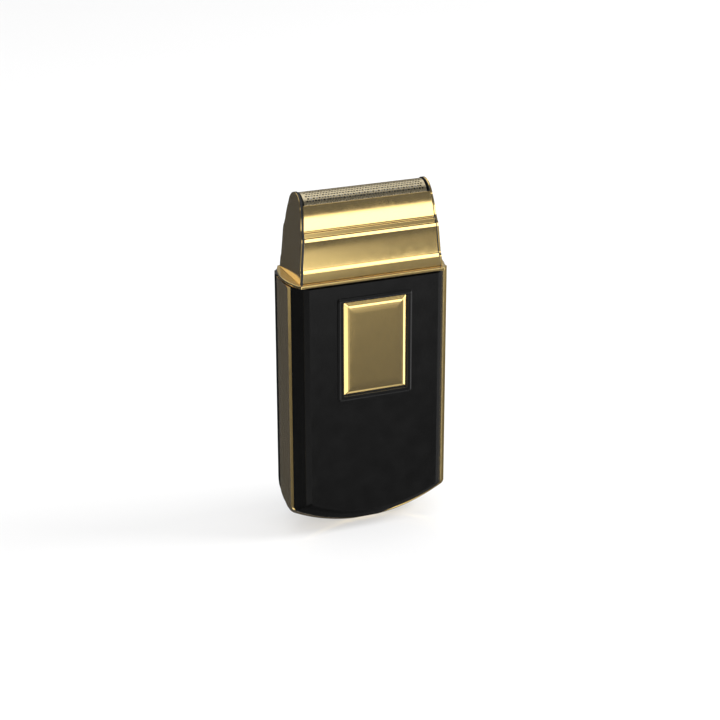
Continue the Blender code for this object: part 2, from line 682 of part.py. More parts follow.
ECCENTRIC_Z = (82.5 * MM, 85.6 * MM)
ECCENTRIC_RADIUS = 3.2 * MM
ECCENTRIC_PRESS = 0.1 * MM
CRANK_RADIUS = 0.9 * MM
CRANK_TOP = 88.4 * MM
SEAL_RADII = (3.6 * MM, 4.7 * MM)
SEAT_HALF = (17.4 * MM, 6.6 * MM)
SEAT_Z = (HEAD_BOTTOM, 85.4 * MM)
SEAT_HOLE = 4.2 * MM
RAIL_HALF_LENGTH = 9.5 * MM
RAIL_Y = (4.0 * MM, 5.2 * MM)
RAIL_TOP = 88.6 * MM
BRIDGE_Z = (86.2 * MM, 88.0 * MM)
BRIDGE_HALF = (7.6 * MM, 3.6 * MM)
LEG_X = (5.2 * MM, 6.8 * MM)
LEG_HALF_DEPTH = 2.6 * MM
TOP_BAR_HALF = (9.5 * MM, 2.8 * MM)
TOP_BAR_Z = (95.2 * MM, 97.0 * MM)
POST_HALF = 1.8 * MM


def make_eccentric():
    disc = rod("eccentric", ECCENTRIC_RADIUS, *ECCENTRIC_Z, "white_plastic", sides=28)
    cut(disc, rod("eccentric_bore", SHAFT_RADIUS + ECCENTRIC_PRESS, ECCENTRIC_Z[0] - PAST,
                  SHAFT_TOP + GAP, sides=20))
    join(disc, rod("crank_pin", CRANK_RADIUS, ECCENTRIC_Z[1] - INTO, CRANK_TOP, x=CUTTER_THROW,
                   sides=16))

    inside, outside = SEAL_RADII
    seal = rod("neck_seal", outside, COLLAR_BOTTOM, COLLAR_TOP, "seal_grey", sides=28)
    bore(seal, inside, (COLLAR_BOTTOM, COLLAR_TOP), sides=28)


def make_head_seat():
    half_x, half_y = SEAT_HALF
    seat = span_box("head_seat", (-half_x, -half_y, SEAT_Z[0]), (half_x, half_y, SEAT_Z[1]),
                    "black_matte")
    add_bevel(seat, GAP)
    for side in (-1, 1):
        near, far = sorted(side * y for y in RAIL_Y)
        join(seat, span_box(f"guide_rail_{side}", (-RAIL_HALF_LENGTH, near, SEAT_Z[1] - INTO),
                            (RAIL_HALF_LENGTH, far, RAIL_TOP)))
    bore(seat, SEAT_HOLE, SEAT_Z, sides=28)
    bore_seat_screws(seat, SEAT_Z)
    for i, (x, y) in enumerate(SEAT_SCREWS):
        top_screw(f"seat_screw_{i + 1}", x, y, MOUNT_Z[0] + INTO, SEAT_Z[1] + SCREW_SEAT)


def make_bridge():
    half_x, half_y = BRIDGE_HALF
    bridge = span_box("drive_bridge", (-half_x, -half_y, BRIDGE_Z[0]), (half_x, half_y, BRIDGE_Z[1]),
                      "white_plastic")
    slot_x = 2 * CUTTER_THROW + CRANK_RADIUS + GAP
    slot_y = CUTTER_THROW + CRANK_RADIUS + GAP
    cut(bridge, span_box("crank_slot_cutter", (-slot_x, -slot_y, BRIDGE_Z[0] - PAST),
                         (slot_x, slot_y, BRIDGE_Z[1] + PAST)))
    for side in (-1, 1):
        near, far = sorted(side * x for x in LEG_X)
        join(bridge, span_box(f"bridge_leg_{side}", (near, -LEG_HALF_DEPTH, BRIDGE_Z[1] - INTO),
                              (far, LEG_HALF_DEPTH, TOP_BAR_Z[0] + INTO)))
    bar_x, bar_y = TOP_BAR_HALF
    join(bridge, span_box("bridge_top", (-bar_x, -bar_y, TOP_BAR_Z[0]), (bar_x, bar_y, TOP_BAR_Z[1])))
    post_top = CUTTER_BASE - CUTTER_PRESS - INTO
    join(bridge, span_box("drive_post", (-POST_HALF, -POST_HALF, TOP_BAR_Z[1] - INTO),
                          (POST_HALF, POST_HALF, post_top)))


# Cutter

CARRIER_HALF = (16.8 * MM, 3.4 * MM)
CARRIER_Z = (100.3 * MM, 102.6 * MM)
POST_SOCKET_HALF = POST_HALF + 0.4 * MM
CUTTER_HALF_LENGTH = 17.6 * MM
CUTTER_BASE = 102.9 * MM
CUTTER_HALF_WIDTH = 3.7 * MM
CUTTER_RADIUS = FOIL_RADIUS - FOIL_THICKNESS - GAP
SPINE_TOP = 104.2 * MM
BLADES = 22
BLADE_SLOT = 0.9 * MM
SPRING_X = 7.0 * MM
SPRING_Z = (TOP_BAR_Z[1] + 0.15 * MM, CARRIER_Z[0] - 0.15 * MM)
SPRING_TURNS = 4
SPRING_STEPS = 10
SPRING_WIRE = 0.25 * MM
SPRING_RADIUS = 1.6 * MM


def make_cutter():
    half_x, half_y = CARRIER_HALF
    carrier = span_box("cutter_carrier", (-half_x, -half_y, CARRIER_Z[0]),
                       (half_x, half_y, CARRIER_Z[1]), "black_matte", bevel=GAP)
    cut(carrier, span_box("post_socket_cutter",
                          (-POST_SOCKET_HALF, -POST_SOCKET_HALF, CARRIER_Z[0] - PAST),
                          (POST_SOCKET_HALF, POST_SOCKET_HALF, CARRIER_Z[1] + PAST)))

    rise = asin(CUTTER_HALF_WIDTH / CUTTER_RADIUS)
    outline = [(-CUTTER_HALF_WIDTH, CUTTER_BASE)]
    outline += arc_points((0, FOIL_CENTRE), CUTTER_RADIUS, pi / 2 + rise, pi / 2 - rise, 14)
    outline += [(CUTTER_HALF_WIDTH, CUTTER_BASE)]
    blades = flat_outline("cutter_blades", outline, 2 * CUTTER_HALF_LENGTH, "steel")
    blades.rotation_euler = ACROSS
    pitch = 2 * CUTTER_HALF_LENGTH / BLADES
    slots = []
    for i in range(1, BLADES):
        x = i * pitch - CUTTER_HALF_LENGTH
        slots.append(span_box(f"blade_slot_{i}", (x - BLADE_SLOT / 2, -CUTTER_RADIUS, SPINE_TOP),
                              (x + BLADE_SLOT / 2, CUTTER_RADIUS, HEIGHT + PAST)))
    cut(blades, merged_cutter("blade_slots", slots))


def make_springs():
    """Coil springs between the bridge and the cutter's carrier."""
    low, high = SPRING_Z[0] + SPRING_WIRE, SPRING_Z[1] - SPRING_WIRE
    count = SPRING_TURNS * SPRING_STEPS
    for side, side_name in SIDES:
        points = []
        for i in range(count + 1):
            angle = 2 * pi * i / SPRING_STEPS
            points.append((SPRING_RADIUS * cos(angle), SPRING_RADIUS * sin(angle),
                           low + (high - low) * i / count))
        spring = tube("cutter_spring_" + side_name, points, SPRING_WIRE, "steel", resolution=1)
        spring.location = (side * SPRING_X, 0, 0)


# Head: shells, end plates, foil and its frame. Profiles are (y, z) in mm.

HEAD_FOOT = (-9.2, HEAD_BOTTOM / MM)
LOWER_BEAD = ((-9.05, 87.2), (-8.87, 88.1))
WAIST = ((-8.6, 88.2), (-8.35, 96.6))
UPPER_BEAD = ((-8.35, 96.8), (-8.15, 97.7))
STEP = [(-7.6, 97.8), (-7.58, 99.2), (-7.0, 99.3), (-7.0, 99.6)]
HEAD_LIP = (-5.15, FOIL_LINE / MM)
SHOULDER = ((-7.1, 99.7), HEAD_LIP)
WAIST_SAGITTA = -0.15
SHOULDER_SAGITTA = 0.26
HEAD_LIP_WALL = 0.5
HEAD_INSIDE = [(-5.4, 104.0), (-5.9, 99.5), (-6.5, 98.6), (-6.9, 96.0), (-7.2, 92.0), (-7.7, 88.0),
               (-8.3, HEAD_BOTTOM / MM)]
PLATE_INSET = 0.25
PLATE_SHOULDER = ((-6.85, 100.0), (-5.3, 105.4))
PLATE_THICKNESS = 0.6 * MM
PLATE_EDGE = 0.15 * MM
PLATE_ARCH = FOIL_RADIUS + GAP
PLATE_ARCH_REACH = radians(78)


def head_end(z):
    """Half the head's length at a height: its ends lean in."""
    return HEAD_END_BOTTOM - HEAD_END_LEAN * (z - HEAD_BOTTOM)


def head_front_profile():
    """The front shell's outside, from the bottom up."""
    points = [HEAD_FOOT, (HEAD_FOOT[0], LOWER_BEAD[0][1] - 0.1), *LOWER_BEAD]
    points += bowed(*WAIST, WAIST_SAGITTA, 8)
    points += [*UPPER_BEAD, *STEP]
    points += bowed(*SHOULDER, SHOULDER_SAGITTA, 8)
    return points


def head_prism(name, section, finish):
    """A section run across the head, its ends at the head's end for each height."""
    bm = bmesh.new()
    face = bm.faces.new([bm.verts.new((1, y * MM, z * MM)) for y, z in section])
    extruded = bmesh.ops.extrude_face_region(bm, geom=[face])
    for vert in [item for item in extruded["geom"] if isinstance(item, bmesh.types.BMVert)]:
        vert.co.x = -1
    for vert in bm.verts:
        vert.co.x *= head_end(vert.co.z)
    return add_object(name, mesh_from(bm, name), finish)


def make_head_shells():
    section = head_front_profile() + [(HEAD_LIP[0] + HEAD_LIP_WALL, HEAD_LIP[1]), *HEAD_INSIDE]
    head_prism("head_shell_front", section, "gold")
    head_prism("head_shell_rear", [(-y, z) for y, z in section], "gold")


def end_plate_outline():
    """The end plate: the head's profile drawn in a little, with an arch over the foil."""
    corners = [HEAD_FOOT, LOWER_BEAD[0], WAIST[0], WAIST[1], UPPER_BEAD[1], STEP[1]]
    front = [(y + PLATE_INSET, z) for y, z in corners] + bowed(*PLATE_SHOULDER, INTO / MM, 4)
    arch = arc_points((0, FOIL_CENTRE / MM), PLATE_ARCH / MM, pi / 2 + PLATE_ARCH_REACH, pi / 2, 8)
    return mirrored_y(front + arch[:-1], (FOIL_CENTRE + PLATE_ARCH) / MM)


def mirrored_y(points, top):
    """A (y, z) outline's front half, completed over the top by its mirror image."""
    return points + [(0.0, top)] + [(-y, z) for y, z in reversed(points)]


def make_end_plates():
    for side, name in SIDES:
        bm = bmesh.new()
        face = bm.faces.new([bm.verts.new((side * (head_end(z * MM) + GAP), y * MM, z * MM))
                             for y, z in end_plate_outline()])
        extruded = bmesh.ops.extrude_face_region(bm, geom=[face])
        moved = [item for item in extruded["geom"] if isinstance(item, bmesh.types.BMVert)]
        bmesh.ops.translate(bm, vec=(side * PLATE_THICKNESS, 0, 0), verts=moved)
        plate = add_object("end_plate_" + name, mesh_from(bm, name), "gold")
        add_bevel(plate, PLATE_EDGE, segments=1, angle=50)


FOIL_HALF_LENGTH = 20.2 * MM
FOIL_LEG = 0.6 * MM
FOIL_LEG_BOTTOM = 104.5 * MM


def foil_path():
    """The foil's outside as (y, z): a leg inside each shell and an arch between them."""
    edge_y = -(HEAD_LIP[0] + HEAD_LIP_WALL) * MM - GAP
    rise = asin(edge_y / FOIL_RADIUS)
    leg = (-edge_y - FOIL_LEG, FOIL_LEG_BOTTOM)
    arch = arc_points((0, FOIL_CENTRE), FOIL_RADIUS, pi / 2 + rise, pi / 2 - rise, 16)
    return [leg, *arch, (-leg[0], leg[1])]


def make_foil():
    bm = bmesh.new()
    path = foil_path()
    left = [bm.verts.new((-FOIL_HALF_LENGTH, y, z)) for y, z in path]
    right = [bm.verts.new((FOIL_HALF_LENGTH, y, z)) for y, z in path]
    for i in range(len(path) - 1):
        bm.faces.new((left[i], right[i], right[i + 1], left[i + 1]))
    bm.normal_update()
    mesh = bpy.data.meshes.new("shaving_foil")
    bm.to_mesh(mesh)
    bm.free()
    mesh.shade_smooth()
    foil = add_object("shaving_foil", mesh, "foil")
    sheet = foil.modifiers.new("Solidify", "SOLIDIFY")
    sheet.thickness = FOIL_THICKNESS
    sheet.offset = -1.0
    sheet.use_even_offset = True


RAIL_Z = (100.6 * MM, 104.1 * MM)
FRAME_HALF = (20.3 * MM, 5.0 * MM)
FRAME_WINDOW_HALF = (19.1 * MM, 4.2 * MM)
END_BLOCK_HALF_DEPTH = 3.9 * MM
END_BLOCK_REACH = radians(80)
SKIRT_HALF = (21.7 * MM, 7.5 * MM)
SKIRT_WINDOW_HALF = (19.6 * MM, 6.9 * MM)
SKIRT_Z = (HEAD_BOTTOM + GAP, 88.2 * MM)
CLIP_X = 18.6 * MM
CLIP_HALF = (0.2 * MM, 3.0 * MM)
CLIP_TOP = 91.0 * MM


def ring_box(name, half, window_half, span):
    """An upright rectangular frame between two heights."""
    frame = span_box(name, (-half[0], -half[1], span[0]), (half[0], half[1], span[1]),
                     "black_matte")
    cut(frame, span_box(name + "_window", (-window_half[0], -window_half[1], span[0] - PAST),
                        (window_half[0], window_half[1], span[1] + PAST)))
    return frame


def make_foil_frame():
    frame = ring_box("foil_frame", FRAME_HALF, FRAME_WINDOW_HALF, RAIL_Z)
    shoulder = RAIL_Z[1] - 2 * INTO
    outline = [(-END_BLOCK_HALF_DEPTH, shoulder)]
    outline += arc_points((0, FOIL_CENTRE), CUTTER_RADIUS, pi / 2 + END_BLOCK_REACH,
                          pi / 2 - END_BLOCK_REACH, 12)
    outline += [(END_BLOCK_HALF_DEPTH, shoulder)]
    thickness = FRAME_HALF[0] - FRAME_WINDOW_HALF[0]
    for side in (-1, 1):
        block = flat_outline(f"end_block_{side}", outline, thickness)
        block.rotation_euler = ACROSS
        block.location = (side * (FRAME_HALF[0] - thickness / 2), 0, 0)
        join(frame, block)


def make_head_frame():
    ring_box("head_frame", SKIRT_HALF, SKIRT_WINDOW_HALF, SKIRT_Z)
    half_x, half_y = CLIP_HALF
    for side, name in SIDES:
        span_box("head_clip_" + name, (side * CLIP_X - half_x, -half_y, SKIRT_Z[0] + GAP),
                 (side * CLIP_X + half_x, half_y, CLIP_TOP), "steel")


def build():
    make_band()
    make_front_shell()
    make_rear_shell()
    make_case_screws()
    make_collar()
    make_switch()
    make_slider()
    make_boards()
    make_charging()
    make_battery()
    make_leads()
    make_motor()
    make_motor_mount()
    make_eccentric()
    make_head_seat()
    make_bridge()
    make_cutter()
    make_springs()
    make_head_shells()
    make_end_plates()
    make_foil()
    make_foil_frame()
    make_head_frame()


build()
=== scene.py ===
"""Looks of the pocket foil shaver: gold-plated metal, gloss black shells and a perforated foil."""
import json
from math import asin, atan2, cos, hypot, pi, radians, sin, sqrt

import bmesh
import bpy
from mathutils import Matrix, Quaternion, Vector

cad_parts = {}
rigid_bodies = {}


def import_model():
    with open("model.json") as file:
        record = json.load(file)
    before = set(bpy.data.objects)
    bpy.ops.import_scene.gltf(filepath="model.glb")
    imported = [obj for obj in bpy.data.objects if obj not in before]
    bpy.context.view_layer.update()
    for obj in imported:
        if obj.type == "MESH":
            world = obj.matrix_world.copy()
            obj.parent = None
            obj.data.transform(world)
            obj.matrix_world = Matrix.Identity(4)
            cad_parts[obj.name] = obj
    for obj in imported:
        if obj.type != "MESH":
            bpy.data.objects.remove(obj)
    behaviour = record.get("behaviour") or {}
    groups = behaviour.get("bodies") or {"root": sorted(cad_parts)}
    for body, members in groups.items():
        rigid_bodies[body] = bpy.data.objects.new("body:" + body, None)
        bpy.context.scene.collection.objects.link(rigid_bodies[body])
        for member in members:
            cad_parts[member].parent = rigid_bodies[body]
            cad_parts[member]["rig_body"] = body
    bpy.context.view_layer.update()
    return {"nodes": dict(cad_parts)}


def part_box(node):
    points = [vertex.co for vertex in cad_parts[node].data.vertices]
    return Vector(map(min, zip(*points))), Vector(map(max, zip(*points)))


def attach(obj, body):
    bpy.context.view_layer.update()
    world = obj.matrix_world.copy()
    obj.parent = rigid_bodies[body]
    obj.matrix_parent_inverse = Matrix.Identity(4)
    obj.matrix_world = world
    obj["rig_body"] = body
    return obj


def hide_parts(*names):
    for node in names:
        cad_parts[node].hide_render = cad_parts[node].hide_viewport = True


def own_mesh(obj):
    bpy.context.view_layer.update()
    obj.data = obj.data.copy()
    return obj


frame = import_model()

MM = 0.001
SCENE = bpy.context.scene


# Camera: from the front left, a little above

CAMERA_PLACE = Vector((-208.5, -520.3, 280.4)) * MM
CAMERA_TARGET = Vector((-0.35, 0.14, 52.83)) * MM
CAMERA_LENS = 96.65
SENSOR_WIDTH = 36.0
CAMERA_ROLL = radians(-0.1)


def make_camera():
    data = bpy.data.cameras.new("camera")
    data.lens = CAMERA_LENS
    data.sensor_width = SENSOR_WIDTH
    data.clip_start = 10 * MM
    camera = bpy.data.objects.new("camera", data)
    SCENE.collection.objects.link(camera)
    camera.location = CAMERA_PLACE
    aim = (CAMERA_TARGET - CAMERA_PLACE).to_track_quat("-Z", "Y")
    camera.rotation_euler = (aim @ Quaternion((0, 0, 1), CAMERA_ROLL)).to_euler()
    SCENE.camera = camera


make_camera()


# Materials

class Surface:
    """A Principled material that is built up from procedural layers in object space."""

    def __init__(self, name, metallic=0.0, **sockets):
        self.material = bpy.data.materials.new(name)
        self.material.use_nodes = True
        self.tree = self.material.node_tree
        self.shader = self.tree.nodes["Principled BSDF"]
        self.shader.inputs["Metallic"].default_value = metallic
        for socket, value in sockets.items():
            self.shader.inputs[socket.replace("_", " ")].default_value = value
        self.place = self.add("ShaderNodeTexCoord").outputs["Object"]
        self.normal = None

    def add(self, kind, **settings):
        node = self.tree.nodes.new(kind)
        for name, value in settings.items():
            setattr(node, name, value)
        return node

    def link(self, output, socket):
        self.tree.links.new(output, socket)

    def stretched(self, scale):
        """Object coordinates stretched by a factor for each axis."""
        mapping = self.add("ShaderNodeMapping")
        mapping.inputs["Scale"].default_value = scale
        self.link(self.place, mapping.inputs["Vector"])
        return mapping.outputs["Vector"]

    def noise(self, scale, detail=2.0, stretch=(1, 1, 1)):
        node = self.add("ShaderNodeTexNoise")
        node.inputs["Scale"].default_value = scale
        node.inputs["Detail"].default_value = detail
        self.link(self.stretched(stretch), node.inputs["Vector"])
        return node.outputs["Fac"]

    def cells(self, scale):
        node = self.add("ShaderNodeTexVoronoi")
        node.inputs["Scale"].default_value = scale
        self.link(self.place, node.inputs["Vector"])
        return node.outputs["Distance"]

    def waves(self, scale, direction, distortion=0.0):
        node = self.add("ShaderNodeTexWave", bands_direction=direction)
        node.inputs["Scale"].default_value = scale
        node.inputs["Distortion"].default_value = distortion
        self.link(self.place, node.inputs["Vector"])
        return node.outputs["Fac"]

    def ranged(self, factor, low, high, start=0.3, end=0.7):
        """Maps a factor's middle range, where noise mostly lies, to low and high."""
        node = self.add("ShaderNodeMapRange")
        node.inputs["From Min"].default_value = start
        node.inputs["From Max"].default_value = end
        node.inputs["To Min"].default_value = low
        node.inputs["To Max"].default_value = high
        self.link(factor, node.inputs["Value"])
        return node.outputs["Result"]

    def mixed(self, factor, first, second):
        """A colour between two, where each is a colour or another node's output."""
        node = self.add("ShaderNodeMix", data_type="RGBA")
        self.link(factor, node.inputs["Factor"])
        for socket, value in zip([s for s in node.inputs if s.type == "RGBA"], (first, second)):
            if isinstance(value, bpy.types.NodeSocket):
                self.link(value, socket)
            else:
                socket.default_value = (*value, 1.0)
        return next(s for s in node.outputs if s.type == "RGBA")

    def colour(self, output):
        self.link(output, self.shader.inputs["Base Color"])
        return self

    def roughness(self, factor, low, high):
        self.link(self.ranged(factor, low, high), self.shader.inputs["Roughness"])
        return self

    def bump(self, height, strength, depth):
        """Adds a layer of relief, its full depth in metres, over the ones before."""
        node = self.add("ShaderNodeBump")
        node.inputs["Strength"].default_value = strength
        node.inputs["Distance"].default_value = depth
        self.link(height, node.inputs["Height"])
        if self.normal:
            self.link(self.normal, node.inputs["Normal"])
        self.normal = node.outputs["Normal"]
        self.link(self.normal, self.shader.inputs["Normal"])
        return self


GOLD = ((0.945, 0.69, 0.265), (0.915, 0.66, 0.245))
BLOOM = {"Sheen_Weight": 0.07, "Sheen_Roughness": 0.8}


def gold_plate(name):
    """Polished plating: a faint shift of hue, soft haze, a very fine orange peel, a pale bloom."""
    s = Surface(name, metallic=1.0, **BLOOM)
    s.colour(s.mixed(s.noise(60, 3), *GOLD))
    s.roughness(s.noise(420, 4), 0.1, 0.15)
    s.bump(s.noise(500, 2), 0.02, 0.01 * MM)
    s.bump(s.noise(9000, 2), 0.03, 0.003 * MM)
    return s.material


def satin_gold(name):
    """The switch plate's plating, with a fine vertical satin grain."""
    s = Surface(name, metallic=1.0, **BLOOM)
    s.colour(s.mixed(s.noise(70, 3), *GOLD))
    s.roughness(s.noise(500, 4, (6, 6, 1)), 0.12, 0.17)
    s.bump(s.noise(2500, 3, (4, 4, 0.15)), 0.03, 0.004 * MM)
    return s.material


def foil_metal(name):
    """Thin gold-toned steel sheet with a dull, grainy face."""
    s = Surface(name, metallic=1.0)
    s.colour(s.mixed(s.noise(300, 3), (0.78, 0.67, 0.45), (0.66, 0.57, 0.38)))
    s.roughness(s.noise(2500, 3), 0.2, 0.34)
    s.bump(s.noise(7000, 2), 0.15, 0.01 * MM)
    return s.material


def black_gloss(name):
    """Gloss-moulded plastic: soft flow marks and fine orange peel."""
    s = Surface(name)
    s.colour(s.mixed(s.noise(90, 3), (0.0020, 0.0020, 0.0020), (0.0028, 0.0028, 0.0027)))
    s.roughness(s.noise(240, 4), 0.2, 0.26)
    s.bump(s.noise(700, 2), 0.02, 0.008 * MM)
    s.bump(s.noise(6000, 1), 0.03, 0.002 * MM)
    return s.material


def black_matte(name):
    """Spark-textured moulded plastic."""
    s = Surface(name)
    s.colour(s.mixed(s.noise(1500, 3), (0.013, 0.013, 0.013), (0.022, 0.022, 0.021)))
    s.roughness(s.noise(1200, 4), 0.46, 0.62)
    s.bump(s.cells(4200), 0.35, 0.02 * MM)
    s.bump(s.noise(9000, 2), 0.2, 0.008 * MM)
    return s.material


def brushed_steel(name):
    """Steel with grinding lines along X."""
    s = Surface(name, metallic=1.0)
    s.colour(s.mixed(s.noise(700, 3, (0.2, 6, 6)), (0.60, 0.60, 0.61), (0.50, 0.50, 0.50)))
    s.roughness(s.noise(2600, 4, (0.12, 4, 4)), 0.2, 0.36)
    s.bump(s.noise(3800, 3, (0.08, 4, 4)), 0.25, 0.008 * MM)
    return s.material


def terminal_brass(name):
    s = Surface(name, metallic=1.0)
    s.colour(s.mixed(s.noise(900, 4), (0.78, 0.58, 0.26), (0.62, 0.44, 0.20)))
    s.roughness(s.noise(1800, 4), 0.28, 0.42)
    s.bump(s.noise(5000, 2), 0.2, 0.01 * MM)
    return s.material


def board_green(name):
    """A circuit board: solder mask with copper tracks that show under it."""
    s = Surface(name)
    tracks = s.ranged(s.waves(420, "X", 5.0), 0.0, 1.0, 0.62, 0.7)
    mask = s.mixed(s.noise(900, 3), (0.012, 0.085, 0.03), (0.016, 0.10, 0.038))
    s.colour(s.mixed(tracks, mask, (0.03, 0.19, 0.07)))
    s.roughness(s.noise(1400, 3), 0.3, 0.42)
    s.bump(tracks, 0.4, 0.03 * MM)
    return s.material


def cell_wrap(name):
    """A cell's shrink sleeve, with faint wrinkles and a lighter band."""
    s = Surface(name)
    band = s.ranged(s.waves(17, "Z"), 0.0, 1.0, 0.8, 0.86)
    sleeve = s.mixed(s.noise(260, 3), (0.02, 0.09, 0.34), (0.03, 0.12, 0.40))
    s.colour(s.mixed(band, sleeve, (0.30, 0.36, 0.46)))
    s.roughness(s.noise(500, 3), 0.24, 0.36)
    s.bump(s.noise(260, 3, (1, 1, 6)), 0.3, 0.03 * MM)
    return s.material


def insulation(name, first, second):
    s = Surface(name)
    s.colour(s.mixed(s.noise(800, 3), first, second))
    s.roughness(s.noise(1500, 3), 0.36, 0.5)
    s.bump(s.noise(3000, 3), 0.25, 0.01 * MM)
    return s.material


def white_plastic(name):
    """Natural acetal, slightly cloudy."""
    s = Surface(name, Subsurface_Weight=0.15, Subsurface_Scale=0.5 * MM)
    s.colour(s.mixed(s.noise(400, 3), (0.74, 0.73, 0.69), (0.66, 0.65, 0.61)))
    s.roughness(s.noise(1500, 4), 0.34, 0.46)
    s.bump(s.noise(5000, 3), 0.2, 0.008 * MM)
    return s.material


def seal_rubber(name):
    s = Surface(name)
    s.colour(s.mixed(s.noise(1200, 4), (0.035, 0.035, 0.035), (0.055, 0.055, 0.054)))
    s.roughness(s.noise(2000, 4), 0.68, 0.85)
    s.bump(s.cells(5000), 0.4, 0.015 * MM)
    return s.material


FINISH = {
    "black_gloss": black_gloss("gloss_black_plastic"),
    "black_matte": black_matte("matte_black_plastic"),
    "gold": gold_plate("gold_plating"),
    "foil_metal": foil_metal("foil_sheet"),
    "steel": brushed_steel("brushed_steel"),
    "terminal_brass": terminal_brass("terminal_brass"),
    "board_green": board_green("circuit_board_green"),
    "cell_wrap": cell_wrap("cell_sleeve"),
    "lead_red": insulation("red_insulation", (0.42, 0.016, 0.014), (0.52, 0.026, 0.02)),
    "lead_black": insulation("black_insulation", (0.010, 0.010, 0.010), (0.018, 0.018, 0.018)),
    "white_plastic": white_plastic("acetal_white"),
    "seal_rubber": seal_rubber("seal_rubber"),
}
PLATE_FINISH = satin_gold("gold_plate_satin")


# Mesh helpers

WELD = 0.0005 * MM


def mesh_from(bm, name):
    bmesh.ops.remove_doubles(bm, verts=bm.verts, dist=WELD)
    bmesh.ops.recalc_face_normals(bm, faces=bm.faces)
    mesh = bpy.data.meshes.new(name)
    bm.to_mesh(mesh)
    bm.free()
    return mesh


def part(name, bm):
    obj = bpy.data.objects.new(name, mesh_from(bm, name))
    SCENE.collection.objects.link(obj)
    return obj


def bake(obj):
    """Makes the mesh what its modifiers give, and drops them."""
    graph = bpy.context.evaluated_depsgraph_get()
    mesh = bpy.data.meshes.new_from_object(obj.evaluated_get(graph))
    obj.modifiers.clear()
    obj.data = mesh
    return obj


def combine(obj, others, operation):
    """An exact Boolean with each of the others, which it uses up."""
    for other in others:
        modifier = obj.modifiers.new("Boolean", "BOOLEAN")
        modifier.operation = operation
        modifier.object = other
        modifier.solver = "EXACT"
    bake(obj)
    for other in others:
        bpy.data.objects.remove(other, do_unlink=True)
    return obj


def cut(obj, *cutters):
    return combine(obj, cutters, "DIFFERENCE")


def join(obj, *others):
    return combine(obj, others, "UNION")


def bevel(obj, width, segments=3, angle=40):
    modifier = obj.modifiers.new("Bevel", "BEVEL")
    modifier.width = width
    modifier.segments = segments
    modifier.limit_method = "ANGLE"
    modifier.angle_limit = radians(angle)
    return bake(obj)


def finish(obj, finish_name, body, *nodes, material=None, angle=32):
    """Shades a final piece, gives it its material, its body, and the nodes that it stands for."""
    mesh = obj.data
    mesh.name = obj.name
    mesh.materials.clear()
    mesh.materials.append(material or FINISH[finish_name])
    mesh.shade_smooth()
    mesh.set_sharp_from_angle(angle=radians(angle))
    weighted = obj.modifiers.new("WeightedNormal", "WEIGHTED_NORMAL")
    weighted.keep_sharp = True
    weighted.weight = 90
    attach(obj, body)
    if nodes:
        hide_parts(*nodes)


def turned(name, profile, place=(0, 0, 0), along_y=False, sides=40):
    """A turned solid: (radius, height) steps from the bottom's middle to the top's middle."""
    bm = bmesh.new()
    rings = []
    for radius, height in profile:
        if radius == 0:
            rings.append([bm.verts.new((0, 0, height))])
        else:
            rings.append([bm.verts.new((radius * cos(2 * pi * i / sides),
                                        radius * sin(2 * pi * i / sides), height))
                          for i in range(sides)])
    for first, second in zip(rings, rings[1:]):
        for i in range(sides):
            j = (i + 1) % sides
            corners = []
            for vert in (first[i % len(first)], first[j % len(first)],
                         second[j % len(second)], second[i % len(second)]):
                if vert not in corners:
                    corners.append(vert)
            bm.faces.new(corners)
    if along_y:
        bmesh.ops.rotate(bm, cent=(0, 0, 0), matrix=Matrix.Rotation(-pi / 2, 3, "X"), verts=bm.verts)
    bmesh.ops.translate(bm, vec=place, verts=bm.verts)
    return part(name, bm)


def drum(name, radius, low, high, place=(0, 0), along_y=False, sides=40):
    """A plain round cutter or shank; place is (x, y), or (x, z) when it lies along Y."""
    at = (place[0], 0, place[1]) if along_y else (place[0], place[1], 0)
    return turned(name, [(0, low), (radius, low), (radius, high), (0, high)], at, along_y, sides)


def fillet(points, radius, steps=4, closed=False):
    """Rounds a polyline's corners, by one radius or a list of them.

    A corner too tight for its radius gets a smaller one, and one that hardly turns stays as it is.
    """
    straight, longest_share = radians(0.5), 0.48
    count = len(points)
    radii = radius if isinstance(radius, (list, tuple)) else [radius] * count
    result = []
    for i, point in enumerate(points):
        if not closed and i in (0, count - 1) or radii[i] <= 0:
            result.append(tuple(point))
            continue
        p, a, b = Vector(point), Vector(points[i - 1]), Vector(points[(i + 1) % count])
        to_a, to_b = a - p, b - p
        turn = pi - to_a.angle(to_b)
        if turn < straight:
            result.append(tuple(point))
            continue
        reach = min(radii[i] * sin(turn / 2) / cos(turn / 2), longest_share * to_a.length,
                    longest_share * to_b.length)
        start, end = p + to_a.normalized() * reach, p + to_b.normalized() * reach
        for k in range(steps + 1):
            t = k / steps
            result.append(tuple(start * (1 - t) ** 2 + p * 2 * t * (1 - t) + end * t ** 2))
    return result


def rounded_rectangle(half, low, high, radius, steps=6):
    """A rectangle from -half to half and low to high, with rounded corners."""
    return fillet([(-half, low), (half, low), (half, high), (-half, high)], radius, steps, True)


def arc(centre, radius, start, end, steps):
    """Points round a centre, by angles in radians."""
    return [(centre[0] + radius * cos(start + (end - start) * i / steps),
             centre[1] + radius * sin(start + (end - start) * i / steps))
            for i in range(steps + 1)]


